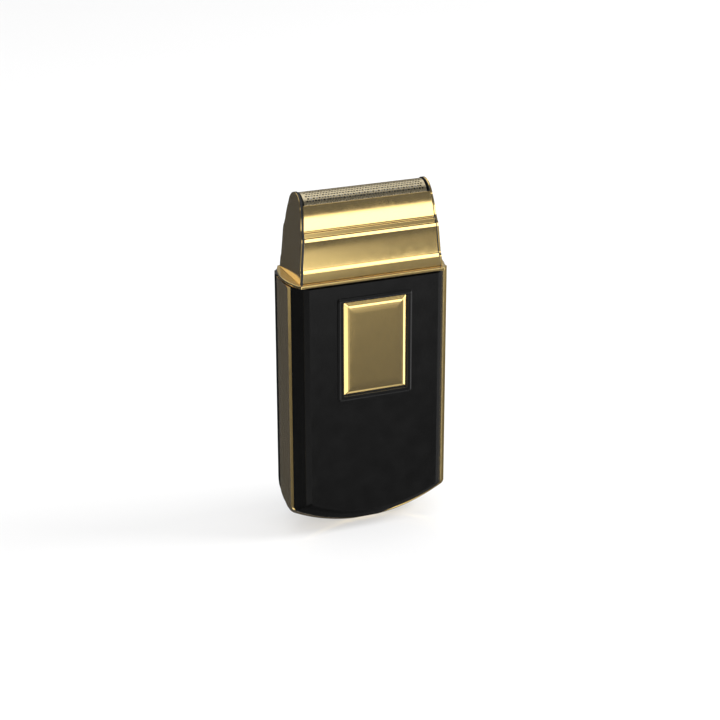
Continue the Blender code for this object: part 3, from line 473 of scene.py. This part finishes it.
def bowed(start, end, sagitta, steps):
    """Points between two ends along an arc that bows to the left of the way from start to end."""
    (x0, y0), (x1, y1) = start, end
    chord = hypot(x1 - x0, y1 - y0)
    along, normal = ((x1 - x0) / chord, (y1 - y0) / chord), (-(y1 - y0) / chord, (x1 - x0) / chord)
    radius = (chord ** 2 / 4 + sagitta ** 2) / (2 * abs(sagitta))
    points = []
    for i in range(steps + 1):
        u = chord * (i / steps - 0.5)
        rise = (sqrt(radius ** 2 - u ** 2) - (radius - abs(sagitta))) * (1 if sagitta > 0 else -1)
        points.append((x0 + along[0] * (u + chord / 2) + normal[0] * rise,
                       y0 + along[1] * (u + chord / 2) + normal[1] * rise))
    return points


def extruded(name, outline, low, high, plane="XY"):
    """A flat outline given thickness: as (x, y) in plan, or as (x, z) in depth."""
    bm = bmesh.new()
    rings = [[bm.verts.new((a, b, level) if plane == "XY" else (a, level, b)) for a, b in outline]
             for level in (low, high)]
    bm.faces.new(rings[0])
    bm.faces.new(rings[1])
    bridge(bm, *rings, closed=True)
    return part(name, bm)


def bridge(bm, first, second, closed=False):
    """Quads between two rows of vertices."""
    count = len(first)
    for i in range(count if closed else count - 1):
        j = (i + 1) % count
        bm.faces.new((first[i], first[j], second[j], second[i]))


# The body's U-shaped outline. A section is a list of steps (side, bottom, corner, y) in mm: how
# far the sides and the bottom are set in at depth y, and the radius of the corners there.

band_low, band_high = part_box("side_band")
HALF_WIDTH, BODY_TOP = band_high.x, band_high.z
FACE_Y, BACK_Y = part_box("front_shell")[0].y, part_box("rear_shell")[1].y
BOTTOM_ARC = 53.5 * MM
FOOT_DROP = 0.35 * MM
CORNER_STEPS, ARC_STEPS = 16, 64

# In mm, as the sections are: the band's depth, the shells' wall, the seam between band and shell,
# and how far the front shell's edge is lifted at the bottom right
BAND_FRONT, BAND_REAR = band_low.y / MM, band_high.y / MM
WALL = 1.5
SEAM = 0.3
RIGHT_RISE = 0.95


def u_outline(side, bottom, corner, top, rise=0.0):
    """Points (x, z) from the left top, round the bottom, to the right top.

    The rise in mm lifts the bottom's right half: by nothing in the middle, and in full past risen.
    """
    risen, bottom_share = 16 * MM, 0.3
    half = HALF_WIDTH - side * MM
    radius = BOTTOM_ARC - bottom * MM
    centre_z = BOTTOM_ARC - FOOT_DROP
    corner = corner * MM
    corner_x = half - corner
    corner_z = centre_z - sqrt((radius - corner) ** 2 - corner_x ** 2)
    reach = atan2(corner_x, centre_z - corner_z)
    left = [(-half, top)]
    left += arc((-corner_x, corner_z), corner, pi, 1.5 * pi - reach, CORNER_STEPS)
    below = arc((0, centre_z), radius, 1.5 * pi - reach, 1.5 * pi + reach, ARC_STEPS)
    right = [(-x, z) for x, z in reversed(left)]
    outline = left + below[1:-1] + right
    lifted = [(x, z + rise * MM * eased(x, 0.0, risen) if z < bottom_share * top else z)
              for x, z in outline]
    return [(x, max(z, 0.0)) for x, z in lifted]


def eased(value, start, end):
    """A smooth step from 0 to 1."""
    t = min(max((value - start) / (end - start), 0.0), 1.0)
    return t * t * (3 - 2 * t)


def outline_solid(name, section, top, loop=False, rises=()):
    """A solid with the body's outline at each step of a section; a loop closes on itself."""
    bm = bmesh.new()
    rises = list(rises) + [0.0] * (len(section) - len(rises))
    rings = [[bm.verts.new((x, y * MM, z)) for x, z in u_outline(side, bottom, corner, top, rise)]
             for (side, bottom, corner, y), rise in zip(section, rises)]
    for first, second in zip(rings, rings[1:]):
        bridge(bm, first, second)
    if loop:
        bridge(bm, rings[-1], rings[0])
        bm.faces.new([ring[0] for ring in rings])
        bm.faces.new([ring[-1] for ring in rings])
    else:
        bm.faces.new(rings[0])
        bm.faces.new(rings[-1])
        bm.faces.new([ring[0] for ring in rings] + [ring[-1] for ring in reversed(rings)])
    return part(name, bm)


def in_mm(points):
    return [(a * MM, b * MM) for a, b in points]


# Places (x, z) of the screws that hold the shells together
SCREWS = [(side * 18.4 * MM, z * MM) for side in (-1, 1) for z in (15.5, 74.5)]
BOSS_RADIUS = 2.3 * MM
PORT_HALF = (4.2 * MM, 1.8 * MM)


def make_band():
    """The gold band: rounded to the rear, a square lip to the front, a port for the socket below."""
    corners = [(0.0, 2.35, 0.8, BAND_FRONT), (0.0, 1.85, 1.5, -5.85), (0.0, 0.9, 2.6, -4.1),
               (0.0, 0.0, 4.0, -3.0), (0.0, 0.0, 7.0, 2.2), (0.12, 0.4, 8.0, 4.3),
               (0.55, 0.8, 8.4, BAND_REAR), (3.0, 3.6, 6.0, BAND_REAR), (3.0, 4.4, 1.0, BAND_FRONT)]
    section = fillet(corners, [0.05, 0.1, 0.8, 1.2, 0.8, 0.2, 0.15, 0, 0], 4, closed=True)
    band = outline_solid("gold_side_band", section, BODY_TOP, loop=True)
    half, tall = PORT_HALF
    port = rounded_rectangle(half, -tall, tall, tall - 0.05 * MM, 10)
    cut(band, extruded("port", port, -1 * MM, 6 * MM))
    bevel(band, 0.1 * MM, 2, 60)
    finish(band, "gold", "case", "side_band")


def shell(name, outer, radii, screw_radius, boss_span, hole_span, rises=()):
    """A hollow half of the case with four screw bosses."""
    body = outline_solid(name, fillet(outer, radii, 6), BODY_TOP, rises=rises)
    cut(body, outline_solid("hollow", hollow_of(outer[:-1]), BODY_TOP + 3 * MM))
    join(body, *[drum("boss", BOSS_RADIUS, *boss_span, place, True) for place in SCREWS])
    cut(body, *[drum("hole", screw_radius, *hole_span, place, True) for place in SCREWS])
    return body


def hollow_of(section):
    """A shell's inside: its section set in by the wall, and run out past the open edge."""
    run_out, least_corner, least_step = 2, 0.8, 0.2
    toward = 1 if section[-1][3] > 0 else -1
    floor = section[-1][3] - toward * WALL
    inner = [(side + WALL, bottom + WALL, max(corner - WALL, least_corner), y)
             for side, bottom, corner, y in section]
    start = (*inner[0][:3], inner[0][3] - toward * run_out)
    walls = [step for step in inner if abs(step[3]) < abs(floor) - least_step]
    return [start, *walls, (*inner[-1][:3], floor)]


def make_front_shell():
    """A flat face with chamfers and drafted walls, and a slot behind the switch."""
    face, edge = FACE_Y / MM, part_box("front_shell")[1].y
    outer = [(0.95, 1.95, 1.0, BAND_FRONT - SEAM), (3.7, 4.9, 1.0, -9.7), (5.05, 6.7, 1.0, face),
             (9.0, 10.6, 1.0, face)]
    body = shell("gloss_front_shell", outer, [0, 0.35, 0.5, 0], 1.15 * MM,
                 (FACE_Y + 0.7 * MM, edge), (-5.5 * MM, 1 * MM), rises=(RIGHT_RISE,))
    slot = rounded_rectangle(1.9 * MM, 50.6 * MM, 58.9 * MM, 0.6 * MM, 5)
    cut(body, extruded("slot", slot, FACE_Y - 1 * MM, FACE_Y + 3 * MM, "XZ"))
    bevel(body, 0.18 * MM, 3, 55)
    finish(body, "black_gloss", "case", "front_shell")


def make_rear_shell():
    """A flat back with soft, broad edges and four sunk screw holes."""
    back = BACK_Y / MM
    outer = [(0.75, 1.3, 8.2, BAND_REAR + SEAM), (0.85, 1.4, 8.2, 8.2), (1.35, 2.0, 7.8, 9.7),
             (2.55, 3.2, 7.0, 10.9), (4.95, 5.6, 5.0, 11.6), (9.75, 10.4, 3.0, back),
             (13.75, 14.4, 3.0, back)]
    body = shell("gloss_rear_shell", outer, [0, 1.5, 1.2, 1.2, 2, 3, 0], 1.2 * MM,
                 (0.15 * MM, 10.4 * MM), (-1 * MM, 13 * MM))
    cut(body, *[drum("bore", 1.9 * MM, 7.6 * MM, 13 * MM, place, True) for place in SCREWS])
    bevel(body, 0.16 * MM, 3, 55)
    finish(body, "black_gloss", "case", "rear_shell")


def screw(name, node, tip, seat, radius, head, place, along_y=False, recess_sides=6):
    """A pan-head screw with a recess in its rounded head and grooves for a thread."""
    height = 1.2 * MM if along_y else 0.8 * MM
    profile = [(0, tip), (0.55 * radius, tip), (radius, tip + radius)]
    pitch = 0.45 * MM
    grooves = int((seat - tip - 2 * radius) / pitch)
    for i in range(grooves):
        base = tip + radius + i * pitch
        profile += [(radius, base + 0.1 * pitch), (0.8 * radius, base + 0.45 * pitch),
                    (radius, base + 0.8 * pitch)]
    profile += [(radius, seat), (head, seat), (head, seat + 0.45 * height)]
    profile += [(head * cos(a), seat + height * (0.45 + 0.55 * sin(a)))
                for a in (radians(25), radians(50), radians(70))]
    profile += [(0, seat + height)]
    at = (place[0], 0, place[1]) if along_y else (place[0], place[1], 0)
    body = turned(name, profile, at, along_y, 36)
    cut(body, drum("recess", 0.5 * head, seat + 0.45 * height, seat + 3 * height, place, along_y,
                   recess_sides))
    finish(body, "steel", "case", node)


def make_screws():
    """The case's screws from behind and the head seat's from above; gives the latter's places."""
    for i, place in enumerate(SCREWS):
        screw(f"rear_case_screw_{i + 1}", f"case_screw_{i + 1}", -4.6 * MM, 7.9 * MM, 1.0 * MM,
              1.6 * MM, place, True)
    seats = [(x * 13.5 * MM, y * 5.0 * MM) for x in (-1, 1) for y in (-1, 1)]
    for i, place in enumerate(seats):
        screw(f"seat_pan_screw_{i + 1}", f"seat_screw_{i + 1}", 80.0 * MM, 85.55 * MM, 0.7 * MM,
              1.4 * MM, place)
    return seats


def make_collar(screw_places):
    """A plate with bowed ends, a hole for the drive and holes for the seat's screws."""
    corner_inset, end_bow, neck_radius, screw_radius = 2.25 * MM, 2.6 * MM, 4.9 * MM, 1.1 * MM
    low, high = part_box("top_collar")
    span = (low.z - 1 * MM, high.z + 1 * MM)
    corner_x = high.x - corner_inset
    left = bowed((-corner_x, high.y), (-corner_x, low.y), -end_bow, 40)
    outline = left + [(-x, y) for x, y in reversed(left)]
    collar = extruded("gold_collar", outline, low.z, high.z)
    bevel(collar, 0.18 * MM, 4, 50)
    cut(collar, drum("hole", neck_radius, *span, sides=72),
        *[drum("screw_hole", screw_radius, *span, place) for place in screw_places])
    finish(collar, "gold", "case", "top_collar")


# Slide switch

def stepped(name, outline_at, steps):
    """A solid of (inset, y) steps of one outline, the last one closed by a flat face."""
    bm = bmesh.new()
    rings = [[bm.verts.new((x, y, z)) for x, z in outline_at(inset)] for inset, y in steps]
    for first, second in zip(rings, rings[1:]):
        bridge(bm, first, second, closed=True)
    bm.faces.new(rings[0])
    bm.faces.new(rings[-1])
    return part(name, bm)


def make_switch_frame():
    """A frame with chamfered edges and a recess for the plate."""
    low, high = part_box("switch_frame")
    back, front = high.y + 0.25 * MM, low.y
    chamfer = 0.6 * MM

    def bezel(inset):
        return rounded_rectangle(high.x - inset, low.z + inset, high.z - inset,
                                 max(1.0 * MM - inset, 0.25 * MM))

    corners = [(0.0, back), (0.0, front + chamfer), (chamfer, front), (2.0 * MM, front)]
    steps = fillet(corners, [0, 0.25 * MM, 0.4 * MM, 0], 5)[:-1]
    bezel_piece = stepped("gloss_switch_frame", bezel, steps)
    plate_low, plate_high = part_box("switch_plate")
    clear = 0.25 * MM
    recess = rounded_rectangle(plate_high.x + clear, plate_low.z - clear, plate_high.z + clear,
                               0.7 * MM)
    floor_y = plate_low.y + 0.62 * MM
    cut(bezel_piece, extruded("recess", recess, front - 1 * MM, floor_y, "XZ"))
    bevel(bezel_piece, 0.1 * MM, 2, 60)
    finish(bezel_piece, "black_gloss", "switch", "switch_frame")


def make_switch_plate():
    """A slightly pillowed plate with a sloped rim."""
    low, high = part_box("switch_plate")
    face = low.y

    def plate(inset):
        return rounded_rectangle(high.x - inset, low.z + inset, high.z - inset,
                                 max(0.55 * MM - 0.2 * inset, 0.3 * MM))

    rim = [(0.0, face + 0.60 * MM), (0.0, face + 0.57 * MM), (1.15 * MM, face + 0.17 * MM)]
    rim += [(1.75 * MM, face + 0.075 * MM), (2.4 * MM, face + 0.025 * MM), (3.3 * MM, face)]
    steps = fillet(rim, [0, 0.05 * MM, 0.4 * MM, 3 * MM, 4 * MM, 0], 5) + [(3.8 * MM, face)]
    plate_piece = stepped("gold_switch_plate", plate, steps)
    finish(plate_piece, "gold", "switch", "switch_plate", material=PLATE_FINISH)


# Head. Its sections are lists of (y, z) in mm for the front half; the rear half mirrors them.

HEAD_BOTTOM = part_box("head_shell_front")[0].z
HEAD_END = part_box("head_shell_front")[1].x
HEAD_LEAN = 0.081
FOIL_RADIUS = 4.85 * MM
FOIL_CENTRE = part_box("shaving_foil")[1].z - FOIL_RADIUS
FOIL_HALF_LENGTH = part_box("shaving_foil")[1].x
HEAD_FOOT = 83.95
FRONT_CORNERS = [(-9.2, HEAD_FOOT), (-9.2, 87.12), (-9.05, 87.2), (-8.87, 88.1), (-8.62, 88.25)]
UPPER_CORNERS = [(-8.35, 96.6), (-8.36, 96.8), (-8.17, 97.65), (-7.63, 97.8), (-7.64, 99.15),
                 (-7.0, 99.3), (-7.0, 99.8)]
LIP = (-5.15, 107.0)
INSIDE = [(-4.65, 107.0), (-5.4, 104.0), (-5.9, 99.5), (-6.5, 98.6), (-6.9, 96.0), (-7.2, 92.0),
          (-7.7, 88.0), (-8.3, HEAD_FOOT)]
PLATE_CORNERS = [(-9.2, HEAD_FOOT), (-9.1, 87.2), (-8.65, 88.3), (-8.5, 92.4), (-8.4, 96.7),
                 (-8.17, 97.7), (-7.65, 98.6), (-7.2, 99.7)]


def head_end(z):
    """Half the head's length at a height: its ends lean in."""
    return HEAD_END - HEAD_LEAN * (z - HEAD_BOTTOM)


def head_outside():
    """The front shell's outside as (y, z) in mm, from the bottom up."""
    return (FRONT_CORNERS[:-1] + bowed(FRONT_CORNERS[-1], UPPER_CORNERS[0], -0.16, 28)
            + UPPER_CORNERS[1:] + bowed((-7.08, 99.88), LIP, 0.26, 28))


def make_head_shells():
    """The front and rear of the head: one section, drawn between the ends' leaning planes."""
    section = in_mm(head_outside() + INSIDE)
    for name, node, sign in (("gold_head_front", "head_shell_front", 1),
                             ("gold_head_rear", "head_shell_rear", -1)):
        bm = bmesh.new()
        rings = [[bm.verts.new((side * head_end(z), sign * y, z)) for y, z in section]
                 for side in (-1, 1)]
        bm.faces.new(rings[0])
        bm.faces.new(rings[1])
        bridge(bm, *rings, closed=True)
        body = part(name, bm)
        bevel(body, 0.08 * MM, 2, 60)
        finish(body, "gold", "head", node, angle=24)


def end_plate_outline(inset):
    """The end plate as (y, z): the head's profile set in by some mm, with an arch over the foil."""
    front = [(y + inset, z) for y, z in PLATE_CORNERS]
    front += bowed((-7.05 + inset, 100.1), (-5.3, 105.4), 0.2, 12)
    radius, reach = FOIL_RADIUS + 0.3 * MM, radians(78)
    over = arc((0, FOIL_CENTRE), radius, pi / 2 + reach, pi / 2, 24)
    left = fillet(in_mm(front), 1.2 * MM, 5) + over[:-1]
    return left + [(0.0, FOIL_CENTRE + radius)] + [(-y, z) for y, z in reversed(left)]


def end_slab(name, side, near, far, inset):
    """A slab with the end plate's outline, between two distances in mm from the shells' ends."""
    bm = bmesh.new()
    rings = [[bm.verts.new((side * (head_end(z) + depth * MM), y, z))
              for y, z in end_plate_outline(inset)] for depth in (near, far)]
    bm.faces.new(rings[0])
    bm.faces.new(rings[1])
    bridge(bm, *rings, closed=True)
    return part(name, bm)


def make_end_plates():
    """Gold plates over the head's ends, each on a dark sheet that fills the gap up to its seat:
    painted shade for the shaded gap between plate and shell, not a real gasket.
    """
    outer_face, slit = 0.9, 0.01
    for side, name, seat in ((-1, "left", 0.7), (1, "right", 0.3)):
        plate = end_slab("gold_end_plate_" + name, side, seat, outer_face, 0.14)
        bevel(plate, 0.09 * MM, 3, 50)
        finish(plate, "gold", "head", "end_plate_" + name, angle=28)
        # A black sheet in the gap under each plate: painted shade where there is only shade between
        # plate and shell
        gap_shade = end_slab("end_gap_shade_" + name, side, 2 * slit, seat - slit, 0.0)
        bevel(gap_shade, 0.04 * MM, 2, 50)
        finish(gap_shade, "black_matte", "head")


def foil_point(s):
    """(y, z) at a distance along the foil from its top: an arch, then legs that spread a little."""
    edge_y, spread, leg_bottom = 4.35 * MM, 0.6 * MM, 104.5 * MM
    rise = asin(edge_y / FOIL_RADIUS)
    limit = rise * FOIL_RADIUS
    side = 1 if s > 0 else -1
    if abs(s) <= limit:
        angle = s / FOIL_RADIUS
        return FOIL_RADIUS * sin(angle), FOIL_CENTRE + FOIL_RADIUS * cos(angle)
    end_z = FOIL_CENTRE + FOIL_RADIUS * cos(rise)
    drop = abs(s) - limit
    lean = spread / (end_z - leg_bottom)
    down = drop / sqrt(1 + lean ** 2)
    return side * (edge_y + lean * down), end_z - down


def make_foil():
    """A thin sheet with staggered oval openings, arched over the cutter."""
    columns, rows, tall, wide = 42, 11, 0.86 * MM, 0.91 * MM
    oval = (0.36 * MM, 0.27 * MM)
    half_width, leg_rows = 6.85 * MM, 8
    bm = bmesh.new()

    def vert(x, s):
        y, z = foil_point(s)
        return bm.verts.new((x, y, z))

    def quad(*places):
        bm.faces.new([vert(*place) for place in places])

    length = columns * wide
    bottom = -rows * tall / 2
    for row in range(rows):
        s0, s1 = bottom + row * tall, bottom + (row + 1) * tall
        middle = (s0 + s1) / 2
        shift = wide / 2 if row % 2 else 0.0
        for column in range(columns - (1 if shift else 0)):
            x0 = -length / 2 + column * wide + shift
            x1, xm = x0 + wide, x0 + wide / 2
            rim = [(x1, middle), (x1, s1), (xm, s1), (x0, s1), (x0, middle), (x0, s0), (xm, s0),
                   (x1, s0)]
            hole = [(xm + oval[0] * cos(a), middle + oval[1] * sin(a))
                    for a in (0, 0.7, pi / 2, pi - 0.7, pi, pi + 0.7, 1.5 * pi, -0.7)]
            for i in range(8):
                j = (i + 1) % 8
                quad(rim[i], rim[j], hole[j], hole[i])
        if shift:
            for x in (-length / 2, length / 2 - shift):
                quad((x, s0), (x + shift, s0), (x + shift, middle), (x, middle))
                quad((x, middle), (x + shift, middle), (x + shift, s1), (x, s1))
    ends = FOIL_HALF_LENGTH - 0.35 * MM
    steps = [bottom + i * tall / 2 for i in range(2 * rows + 1)]
    for low, high in ((-ends, -length / 2), (length / 2, ends)):
        for s0, s1 in zip(steps, steps[1:]):
            quad((low, s0), (high, s0), (high, s1), (low, s1))
    marks = [-ends] + [-length / 2 + i * wide / 2 for i in range(2 * columns + 1)] + [ends]
    for side in (-1, 1):
        stops = [side * (-bottom + (half_width + bottom) * i / leg_rows)
                 for i in range(leg_rows + 1)]
        for s0, s1 in zip(stops, stops[1:]):
            for x0, x1 in zip(marks, marks[1:]):
                quad((x0, s0), (x1, s0), (x1, s1), (x0, s1))
    foil = part("perforated_foil", bm)
    sheet = foil.modifiers.new("Solidify", "SOLIDIFY")
    sheet.thickness = 0.12 * MM
    sheet.offset = -1.0
    bake(foil)
    finish(foil, "foil_metal", "head", "shaving_foil", angle=40)


def refined(node, name, finish_name, width, angle=35):
    """A CAD solid's own shape, welded and with its edges rounded."""
    bm = bmesh.new()
    source = frame["nodes"][node]
    bm.from_mesh(source.data)
    bmesh.ops.remove_doubles(bm, verts=bm.verts, dist=2 * WELD)
    bmesh.ops.dissolve_limit(bm, angle_limit=radians(0.6), verts=bm.verts, edges=bm.edges)
    body = part(name, bm)
    bevel(body, width, 2, angle)
    finish(body, finish_name, source["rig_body"], node)


def make_eccentric():
    """A disc on the motor's shaft with an off-centre crank pin."""
    low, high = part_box("eccentric")
    disc_top, bore_top, crank_x = 85.6 * MM, 85.1 * MM, 1.2 * MM
    radius, pin_radius, bore_radius = 3.2 * MM, 0.9 * MM, 1.1 * MM
    edge, low_edge = 0.25 * MM, 0.2 * MM
    root = disc_top - 0.3 * MM
    disc = turned("eccentric_disc",
                  [(0, low.z), (radius - low_edge, low.z), (radius, low.z + low_edge),
                   (radius, disc_top - edge), (radius - edge, disc_top), (0, disc_top)], sides=72)
    pin = turned("pin", [(0, root), (pin_radius, root), (pin_radius, high.z - edge),
                         (pin_radius - edge, high.z), (0, high.z)], (crank_x, 0, 0))
    cut(disc, drum("bore", bore_radius, low.z - 1 * MM, bore_top))
    join(disc, pin)
    finish(disc, "white_plastic", "rotor", "eccentric")


def make_neck_seal():
    """A rubber ring with a lip, from its (radius, height) section in mm."""
    low, high = (corner.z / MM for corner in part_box("neck_seal"))
    section = [(3.6, low), (4.55, low), (4.7, low + 0.15), (4.7, high - 0.15), (4.55, high),
               (4.1, high), (3.9, (low + high) / 2 + 0.2), (3.6, high - 0.1)]
    bm = bmesh.new()
    sides = 72
    rings = [[bm.verts.new((radius * MM * cos(2 * pi * i / sides),
                            radius * MM * sin(2 * pi * i / sides), z * MM))
              for radius, z in section] for i in range(sides)]
    for first, second in zip(rings, rings[1:] + rings[:1]):
        bridge(bm, first, second, closed=True)
    seal = part("neck_seal_ring", bm)
    finish(seal, "seal_rubber", "case", "neck_seal")


def make_springs():
    """Coil springs that close as the cutter is pressed down."""
    turns, per_turn, ends, flat_share = 5, 28, 0.8, 0.12
    radius = 0.25 * MM
    for name in ("left", "right"):
        low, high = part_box("cutter_spring_" + name)
        centre_x = (low.x + high.x) / 2
        coil = (high.x - low.x) / 2 - radius
        curve = bpy.data.curves.new("coil", "CURVE")
        curve.dimensions = "3D"
        curve.bevel_depth = radius
        curve.bevel_resolution = 3
        curve.use_fill_caps = True
        count = turns * per_turn
        spline = curve.splines.new("POLY")
        spline.points.add(count)
        bottom, top = low.z + radius, high.z - radius
        for i, point in enumerate(spline.points):
            t = i / count * turns
            share = min(max((t - ends) / (turns - 2 * ends), 0.0), 1.0)
            slow = (min(t, ends) + min(max(t - turns + ends, 0.0), ends)) / (2 * ends)
            height = bottom + (top - bottom) * (flat_share * slow + (1 - flat_share) * share)
            angle = 2 * pi * t
            point.co = (centre_x + coil * cos(angle), coil * sin(angle), height, 1)
        holder = bpy.data.objects.new("coil", curve)
        SCENE.collection.objects.link(holder)
        graph = bpy.context.evaluated_depsgraph_get()
        mesh = bpy.data.meshes.new_from_object(holder.evaluated_get(graph))
        bpy.data.objects.remove(holder, do_unlink=True)
        bm = bmesh.new()
        bm.from_mesh(mesh)
        spring = part("coil_spring_" + name, bm)
        finish(spring, "steel", "bridge", "cutter_spring_" + name, angle=50)
        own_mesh(spring)


def make_pieces():
    """All pieces, and then the procedural materials on the CAD's nodes that still show."""
    make_band()
    make_front_shell()
    make_rear_shell()
    make_collar(make_screws())
    make_switch_frame()
    make_switch_plate()
    make_head_shells()
    make_end_plates()
    make_foil()
    make_eccentric()
    make_neck_seal()
    make_springs()
    refined("foil_frame", "foil_carrier_frame", "black_matte", 0.12 * MM)
    refined("cutter_blades", "inner_cutter", "steel", 0.04 * MM, 50)
    refined("cutter_carrier", "cutter_rocker", "black_matte", 0.12 * MM)
    refined("drive_bridge", "swing_bridge", "white_plastic", 0.15 * MM)
    refined("head_seat", "head_seat_base", "black_matte", 0.12 * MM)
    refined("head_frame", "head_inner_frame", "black_matte", 0.15 * MM)
    refined("head_clip_left", "head_spring_clip_left", "steel", 0.06 * MM)
    refined("head_clip_right", "head_spring_clip_right", "steel", 0.06 * MM)
    refined("charge_socket", "charge_socket_shell", "steel", 0.08 * MM)
    refined("switch_slider", "switch_slider_block", "black_matte", 0.1 * MM)
    for node in frame["nodes"].values():
        if not node.hide_render:
            slot_name = node.data.materials[0].name
            for place in node.material_slots:
                place.material = FINISH[slot_name]


make_pieces()


# Floor, world and light

class Sky:
    """A studio's surroundings as soft-edged panels, given by heading and elevation in degrees.

    Heading is 0 in front of the shaver and grows towards its right.
    """

    def __init__(self):
        world = bpy.data.worlds.new("studio")
        world.use_nodes = True
        SCENE.world = world
        self.tree = world.node_tree
        self.background = self.tree.nodes["Background"]
        place = self.tree.nodes.new("ShaderNodeTexCoord").outputs["Generated"]
        parts = self.tree.nodes.new("ShaderNodeSeparateXYZ")
        self.tree.links.new(place, parts.inputs[0])
        x, y, z = parts.outputs
        self.heading = self.maths("DEGREES", self.maths("ARCTAN2", x, self.maths("MULTIPLY", y, -1.0)))
        self.elevation = self.maths("DEGREES", self.maths("ARCSINE", z))
        self.total = None

    def maths(self, operation, *values):
        node = self.tree.nodes.new("ShaderNodeMath")
        node.operation = operation
        for socket, value in zip(node.inputs, values):
            if isinstance(value, bpy.types.NodeSocket):
                self.tree.links.new(value, socket)
            else:
                socket.default_value = value
        return node.outputs[0]

    def ramp(self, value, start, end):
        node = self.tree.nodes.new("ShaderNodeMapRange")
        node.interpolation_type = "SMOOTHSTEP"
        node.inputs["From Min"].default_value = start
        node.inputs["From Max"].default_value = end
        self.tree.links.new(value, node.inputs["Value"])
        return node.outputs["Result"]

    def panel(self, level, headings, elevations):
        """Adds a panel; each range is (fade-in start, full, full, fade-out end), or None for all."""
        mask = None
        for value, span in ((self.heading, headings), (self.elevation, elevations)):
            if span is None:
                continue
            for start, end in ((span[0], span[1]), (span[3], span[2])):
                edge = self.ramp(value, start, end)
                mask = edge if mask is None else self.maths("MULTIPLY", mask, edge)
        node = self.tree.nodes.new("ShaderNodeVectorMath")
        node.operation = "MULTIPLY_ADD"
        spread = self.tree.nodes.new("ShaderNodeCombineXYZ")
        for socket in spread.inputs:
            self.tree.links.new(mask, socket)
        self.tree.links.new(spread.outputs[0], node.inputs[0])
        node.inputs[1].default_value = (level, level, level)
        if self.total is None:
            node.inputs[2].default_value = (0, 0, 0)
        else:
            self.tree.links.new(self.total, node.inputs[2])
        self.total = node.outputs[0]

    def close(self, seen, diffuse):
        """Levels for what the camera sees and for what lights matt surfaces."""
        rays = self.tree.nodes.new("ShaderNodeLightPath").outputs
        result = self.total
        for ray, level in ((rays["Is Diffuse Ray"], diffuse), (rays["Is Camera Ray"], seen)):
            node = self.tree.nodes.new("ShaderNodeMix")
            node.data_type = "VECTOR"
            self.tree.links.new(ray, node.inputs[0])
            vectors = [s for s in node.inputs if s.type == "VECTOR" and s.enabled]
            self.tree.links.new(result, vectors[0])
            vectors[1].default_value = (level, level, level)
            result = next(s for s in node.outputs if s.type == "VECTOR")
        self.tree.links.new(result, self.background.inputs["Color"])
        self.background.inputs["Strength"].default_value = 1.0


def make_sky():
    """Dark surroundings with panels, each named by what mirrors it in the main view."""
    sky = Sky()
    everywhere = (-180, -170, 170, 180)
    front_of_head = (-60, -45, 95, 110)
    rear_right = (110, 140, 200, 220)
    low_front = (-50, -36, -20.5, -19)
    below_step = (-20.5, -18, -8, -5)
    # A faint fill all round, and a little more from the front
    sky.panel(0.045, None, everywhere)
    sky.panel(0.08, (-75, -50, 120, 150), (-70, -55, 170, 180))
    # The bright band along the head, and the softer one under it, brighter to the left
    sky.panel(2.5, front_of_head, (-8, -5, 10, 15))
    sky.panel(0.8, (-60, -45, 18.5, 22.5), below_step)
    sky.panel(0.15, (18, 23, 95, 110), (-22, -18, -8, -5))
    # The head's foot and the plate's left rim; the front shell's left chamfer; the right-hand edges
    sky.panel(1.65, (-60, -34, -14, 10), low_front)
    sky.panel(0.42, (-77.5, -75, -60, -40), low_front)
    sky.panel(2.0, (42, 52, 72, 92), (-50, -36, -8, -5))
    # The plate's bottom rim
    sky.panel(1.3, (-40, -20, 60, 90), (-80, -72, -60, -54))
    # The ceiling for the foil's front; the collar's top and the foil's crest; the foil behind it
    sky.panel(1.0, None, (60, 68, 100, 130))
    sky.panel(0.3, rear_right, (4, 12, 60, 66))
    sky.panel(0.6, rear_right, (34, 42, 66, 74))
    # Edges that face up and to the left
    sky.panel(1.2, (-170, -150, -115, -100), (-4, 4, 30, 38))
    sky.close(1.0, 1.0)


FLOOR_HALF_SIZE = 4.0
FLOOR_GLOW = 0.48
KEY_PLACE = Vector((1.1, -0.3, 0.8))
KEY_TARGET = Vector((0, 0, 0.05))
KEY_SIZE = (0.5, 0.4)
KEY_WATTS = 14.0


def make_floor():
    """A pale floor that glows a little, so that it goes white away from the contact shadow."""
    bm = bmesh.new()
    bmesh.ops.create_grid(bm, x_segments=8, y_segments=8, size=FLOOR_HALF_SIZE)
    floor = part("studio_floor", bm)
    s = Surface("pale_floor", Emission_Color=(1, 1, 1, 1), Emission_Strength=FLOOR_GLOW)
    s.colour(s.mixed(s.noise(3, 2), (0.46, 0.46, 0.46), (0.48, 0.48, 0.48)))
    s.roughness(s.noise(8, 2), 0.16, 0.2)
    floor.data.materials.append(s.material)
    floor.visible_glossy = False


def make_key_light():
    """A soft light from the right that throws the floor shadow to the left."""
    data = bpy.data.lights.new("key", "AREA")
    data.shape = "RECTANGLE"
    data.size, data.size_y = KEY_SIZE
    data.energy = KEY_WATTS
    key = bpy.data.objects.new("key", data)
    SCENE.collection.objects.link(key)
    key.location = KEY_PLACE
    key.rotation_euler = (KEY_TARGET - KEY_PLACE).to_track_quat("-Z", "Y").to_euler()
    key.visible_glossy = False


make_sky()
make_floor()
make_key_light()
SCENE.view_settings.view_transform = "Standard"
SCENE.view_settings.look = "None"
